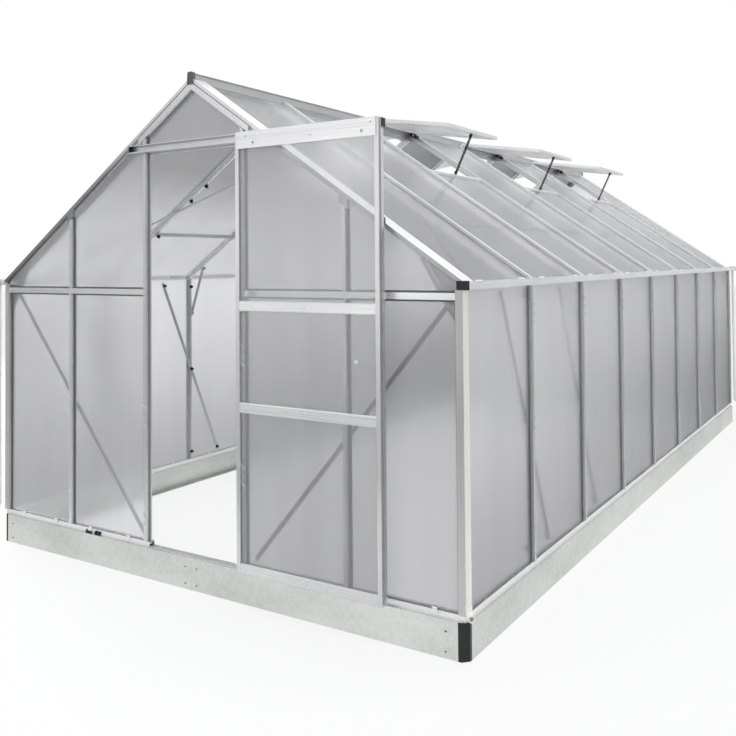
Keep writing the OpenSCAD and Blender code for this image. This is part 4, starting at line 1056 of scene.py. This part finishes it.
# %% Clips along the sills and the eaves
CLIP_SHARES = (0.27, 0.78)
SILL_CLIP_DROP = 0.005
EAVE_CLIP_OFF, EAVE_CLIP_UP, EAVE_CLIP_ON = 0.10, 0.016, 0.006
sill_z = front_sill[1].z - SILL_CLIP_DROP
sill_in = front_sill[0].y - front_y
sill_clips = []
for box in solid_boxes("wall_panels"):
    side = side_of(box)
    for share in CLIP_SHARES:
        y = box[0].y + (box[1].y - box[0].y) * share
        sill_clips.append((Vector((side * (half_width - sill_in), y, sill_z)), side * X_AXIS, Z_AXIS))
for name, face_y, out in (("front_gable_panels", front_sill[0].y, -Y_AXIS),
                          ("rear_gable_panels", rear_y - sill_in, Y_AXIS)):
    for low, high in solid_boxes(name):
        if low.z < front_sill[1].z:
            for share in CLIP_SHARES:
                x = low.x + (high.x - low.x) * share
                sill_clips.append((Vector((x, face_y, sill_z)), out, Z_AXIS))
fit_pieces("sill_clips", sill_clip, sill_clips, white_plastic, "root", "white_pipe")

eave_clips = []
for box in solid_boxes("roof_panels"):
    low, high = box
    out, down = slope_ways(side_of(box))
    foot = Vector((outer_x(box), 0, low.z)) - down * EAVE_CLIP_UP + out * EAVE_CLIP_ON
    for y in (low.y + EAVE_CLIP_OFF, high.y - EAVE_CLIP_OFF):
        eave_clips.append((Vector((foot.x, y, foot.z)), out, Y_AXIS))
fit_pieces("eave_clips", eave_clip, eave_clips, white_plastic, "root", "white_pipe")

# %% [markdown]
# ## Vent stays
# Each open vent stands on a flat black stay with a row of holes for the casement peg. The CAD stay is a
# plain bar. This one is a bar of the same size with the holes cut out by a Mesh Boolean, and it takes the
# plain bar's place.

# %% Perforated stays
STAY_TRIM = 0.006
HOLE_CUT, HOLE_SIDES = 0.03, 10
stay_boxes = solid_boxes("vent_stays")
stay_low, stay_high = next(box for box in stay_boxes if box[0].x > 0)
stay_run = Vector((stay_high.x - stay_low.x, 0, stay_high.z - stay_low.z))
stay_tree = FittingTree("perforated_stay", {"Length": stay_run.length, "Width": 0.012, "Thickness": 0.004,
                                            "Hole Diameter": 0.006, "Hole Pitch": 0.020})
stay_length, hole_pitch = stay_tree.size("Length"), stay_tree.size("Hole Pitch")
stay_size = stay_tree.vector(stay_length, stay_tree.size("Width"), stay_tree.size("Thickness"))
stay_bar = stay_tree.add("GeometryNodeMeshCube", {"Size": stay_size}).outputs["Mesh"]
hole_count = stay_tree.calculated("FLOOR", stay_tree.calculated("DIVIDE", stay_length, hole_pitch), 0.0)
first_hole = stay_tree.times(stay_tree.calculated("SUBTRACT", hole_count, 1.0),
                             stay_tree.times(hole_pitch, -0.5))
hole_row = stay_tree.add("GeometryNodeMeshLine", {
    "Count": hole_count, "Start Location": stay_tree.vector(first_hole),
    "Offset": stay_tree.vector(hole_pitch)}, mode="OFFSET")
hole_plug = stay_tree.add("GeometryNodeMeshCylinder", {
    "Vertices": HOLE_SIDES, "Radius": stay_tree.half("Hole Diameter"), "Depth": HOLE_CUT})
plug_row = stay_tree.add("GeometryNodeInstanceOnPoints", {
    "Points": hole_row.outputs["Mesh"], "Instance": hole_plug.outputs["Mesh"]})
real_plugs = stay_tree.add("GeometryNodeRealizeInstances", {"Geometry": plug_row.outputs[0]})
pierced = stay_tree.add("GeometryNodeMeshBoolean", {"Mesh 1": stay_bar, "Mesh 2": real_plugs.outputs[0]},
                        operation="DIFFERENCE", solver="EXACT")
stay_tree.close(pierced.outputs["Mesh"])
stays = [(middle(box), Y_AXIS, Vector((side_of(box) * stay_run.x, 0, stay_run.z))) for box in stay_boxes]
stay_piece = fit_pieces("perforated_stays", stay_tree, stays, black_steel, "root", "black_steel",
                        length=stay_run.length - STAY_TRIM)
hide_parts("vent_stays")

# %% [markdown]
# Each stay is pinned at its foot on the vent sill and at its head under the vent's frame, with a knob on
# either end.

# %% Stay knobs
STAY_KNOB_IN, STAY_FACE = 0.016, 0.002
reach = stay_run.length / 2 - STAY_KNOB_IN
stay_knobs = []
for centre, _, run in stays:
    way = run.normalized()
    for end in (-reach, reach):
        stay_knobs.append((centre + way * end - Y_AXIS * STAY_FACE, -Y_AXIS, way))
fit_pieces("stay_knobs", knob, stay_knobs, black_plastic, "root", "black_plastic",
           diameter=0.017, height=0.010)

# %% [markdown]
# ## Verges
# The solids have a plain corner section along the edges of the roof. Seen close, only a narrow bead shows
# below the edge, the cover strip on the roof is wider, and the tall front leg is there only over the door.
# So the same edge line carries a finer section here. It is drawn as points, each with its depth behind the
# face and its drop below the top, and pulled from the eave to the mitre at the ridge. Short blocks take
# the gable bars up to the bead.


# %% Solids between two rings
def add_prism(work, ends, coats=()):
    """Add a solid between two rings of points. The coats, if any, are the side faces' material indices."""
    rings = [[work.verts.new(point) for point in end] for end in ends]
    count = len(rings[0])
    for i in range(count):
        j = (i + 1) % count
        face = work.faces.new((rings[0][i], rings[0][j], rings[1][j], rings[1][i]))
        face.material_index = coats[i] if coats else 0
    for ring in rings:
        work.faces.new(ring)


def prism_piece(name, work, *coats):
    """Turn the faces outwards and make the solids one object with its finishes."""
    bmesh.ops.recalc_face_normals(work, faces=work.faces)
    mesh = bpy.data.meshes.new(name)
    work.to_mesh(mesh)
    work.free()
    for coat in coats:
        mesh.materials.append(coat)
    piece = bpy.data.objects.new(name, mesh)
    scene.collection.objects.link(piece)
    print(name, len(mesh.polygons), "faces")
    return piece


# %% Verges
COVER_REACH, COVER_T, COVER_LIP, COVER_LIP_T = 0.076, 0.003, 0.011, 0.002
BEAD_DROP, REBATE_DEPTH, CORE_SIZE = 0.013, 0.0115, 0.020
LEG_TOP, LEG_FOOT, LEG_END_X = 0.017, 0.040, 0.31
BLOCK_FOOT = 0.044
COVER_FACES = 5
cover_section = ((0, 0), (COVER_REACH, 0), (COVER_REACH, COVER_LIP), (COVER_REACH - COVER_LIP_T, COVER_LIP),
                 (COVER_REACH - COVER_LIP_T, COVER_T), (CORE_SIZE, COVER_T), (CORE_SIZE, CORE_SIZE),
                 (REBATE_DEPTH, CORE_SIZE), (REBATE_DEPTH, BEAD_DROP), (0, BEAD_DROP))
# The cover strip's faces take the lighter copy, painted light, and the core, the rebate and the bead the
# darker one with its painted shade.
cover_coats = [1 if i < COVER_FACES else 0 for i in range(len(cover_section))]


def strip_section(top_drop, foot_drop):
    return ((0, top_drop), (REBATE_DEPTH, top_drop), (REBATE_DEPTH, foot_drop), (0, foot_drop))


def verge_piece(name, replaced, inward):
    """Both verges of a gable as one mesh; inward is 1 for the front gable and -1 for the rear one."""
    points = node_points(replaced)
    face_y = min(p.y * inward for p in points) * inward
    edge = [p for p in points if abs(p.y - face_y) < 1e-5 and p.x > 0]
    foot, top = max(edge, key=lambda p: p.x), max(edge, key=lambda p: p.z)
    run = (foot - top).normalized()
    below = Vector((run.z, 0, -run.x))

    def at_x(drop, x):
        """The point with this drop below the edge line, at x or, where x is None, square to its foot."""
        start = foot + below * drop
        return start if x is None else start + run * ((x - start.x) / run.x)

    lengths = [(cover_section, cover_coats, None, top.x),
               (strip_section(LEG_TOP, LEG_FOOT), (), LEG_END_X, top.x)]
    for low, high in gable_bars:
        if low.x > LEG_END_X and (low.y < middle_y) == (inward > 0):
            lengths.append((strip_section(BEAD_DROP, BLOCK_FOOT), (), high.x, low.x))
    work = bmesh.new()
    for side in (1, -1):
        for section, coats, start_x, end_x in lengths:
            ends = []
            for x in (start_x, end_x):
                places = [(at_x(drop, x), face_y + inward * depth) for depth, drop in section]
                ends.append([(side * p.x, y, p.z) for p, y in places])
            add_prism(work, ends, coats)
    piece = prism_piece(name, work, grained, painted_light_grained)
    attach(piece, "root")
    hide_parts(replaced)


verge_piece("front_verge_sections", "front_verges", 1)
verge_piece("rear_verge_sections", "rear_verges", -1)

# %% [markdown]
# ## Gusset wings
# Beside each corner post, a narrow strip of the corner gusset shows. The solid gusset is too narrow for
# that, so a strip of thin sheet widens it: four points in the plane of the gable are given a thickness,
# and the same plate is mirrored into the four corners.

# %% Gusset wings
WING_POINTS = ((1.206, 1.112), (1.224, 1.121), (1.081, 1.342), (1.069, 1.335))
WING_DEPTH = (0.0265, 0.0295)
wing_work = bmesh.new()
for turn_y, plane in ((1, front_y), (-1, rear_y)):
    for turn_x in (1, -1):
        add_prism(wing_work, [[(turn_x * x, plane + turn_y * depth, z) for x, z in WING_POINTS]
                              for depth in WING_DEPTH])
wings = prism_piece("gusset_wings", wing_work, zinc_plated)
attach(wings, "root")

# %% [markdown]
# ## Hinge blocks
# The vents hang in the ridge. At the far end of each vent sits a black plastic hinge block with a bright
# pin, and at its near end a round grey plug. A small block of the same kind sits on the right-hand verge,
# beside the open door.

# %% Hinge blocks
VENT_BAYS = (2, 4, 6)
HINGE_X, HINGE_BACK = 0.034, 0.040
PLUG_X, PLUG_Z, PLUG_ON = 0.022, 2.092, 0.024
PLUG_TAPER, PLUG_SIDES = 0.8, 14
PIN_AHEAD, PIN_UP, PIN_HEAD = 0.015, 0.012, 0.010
VERGE_BLOCK_X, VERGE_BLOCK_IN, VERGE_BLOCK_Z = 0.936, 0.006, 1.469
hinge_block = plain_block("hinge_block", {"Length": 0.046, "Width": 0.030, "Height": 0.020})
hinge_plug = FittingTree("hinge_plug", {"Diameter": 0.020, "Depth": 0.012})
plug_radius = hinge_plug.half("Diameter")
plug_face = hinge_plug.times(plug_radius, PLUG_TAPER)
hinge_plug.close(hinge_plug.drum(plug_radius, plug_face, hinge_plug.size("Depth"), PLUG_SIDES))
blocks, plugs, pins = [], [], []
for side in (-1, 1):
    out, down = slope_ways(side)
    for k in VENT_BAYS:
        plugs.append((Vector((side * PLUG_X, front_y + k * bay + PLUG_ON, PLUG_Z)), -Y_AXIS, X_AXIS))
        foot = roof_point(side * HINGE_X, front_y + (k + 1) * bay - HINGE_BACK)
        blocks.append((foot, out, down))
        pins.append((foot - Y_AXIS * PIN_AHEAD + out * PIN_UP, -Y_AXIS, X_AXIS))
verge_block = Vector((VERGE_BLOCK_X, front_y + VERGE_BLOCK_IN, VERGE_BLOCK_Z))
fit_pieces("hinge_blocks", hinge_block, blocks, black_plastic, "root", "black_plastic")
fit_pieces("hinge_plugs", hinge_plug, plugs, grey_plastic, "root", "grey_plastic")
fit_pieces("hinge_pins", pan_screw, pins, bright_zinc, "root", "zinc_steel", head_diameter=PIN_HEAD)
fit_pieces("verge_block", hinge_block, [(verge_block, -Y_AXIS, Z_AXIS)], black_plastic, "root",
           "black_plastic", length=0.026, width=0.014, height=0.012)
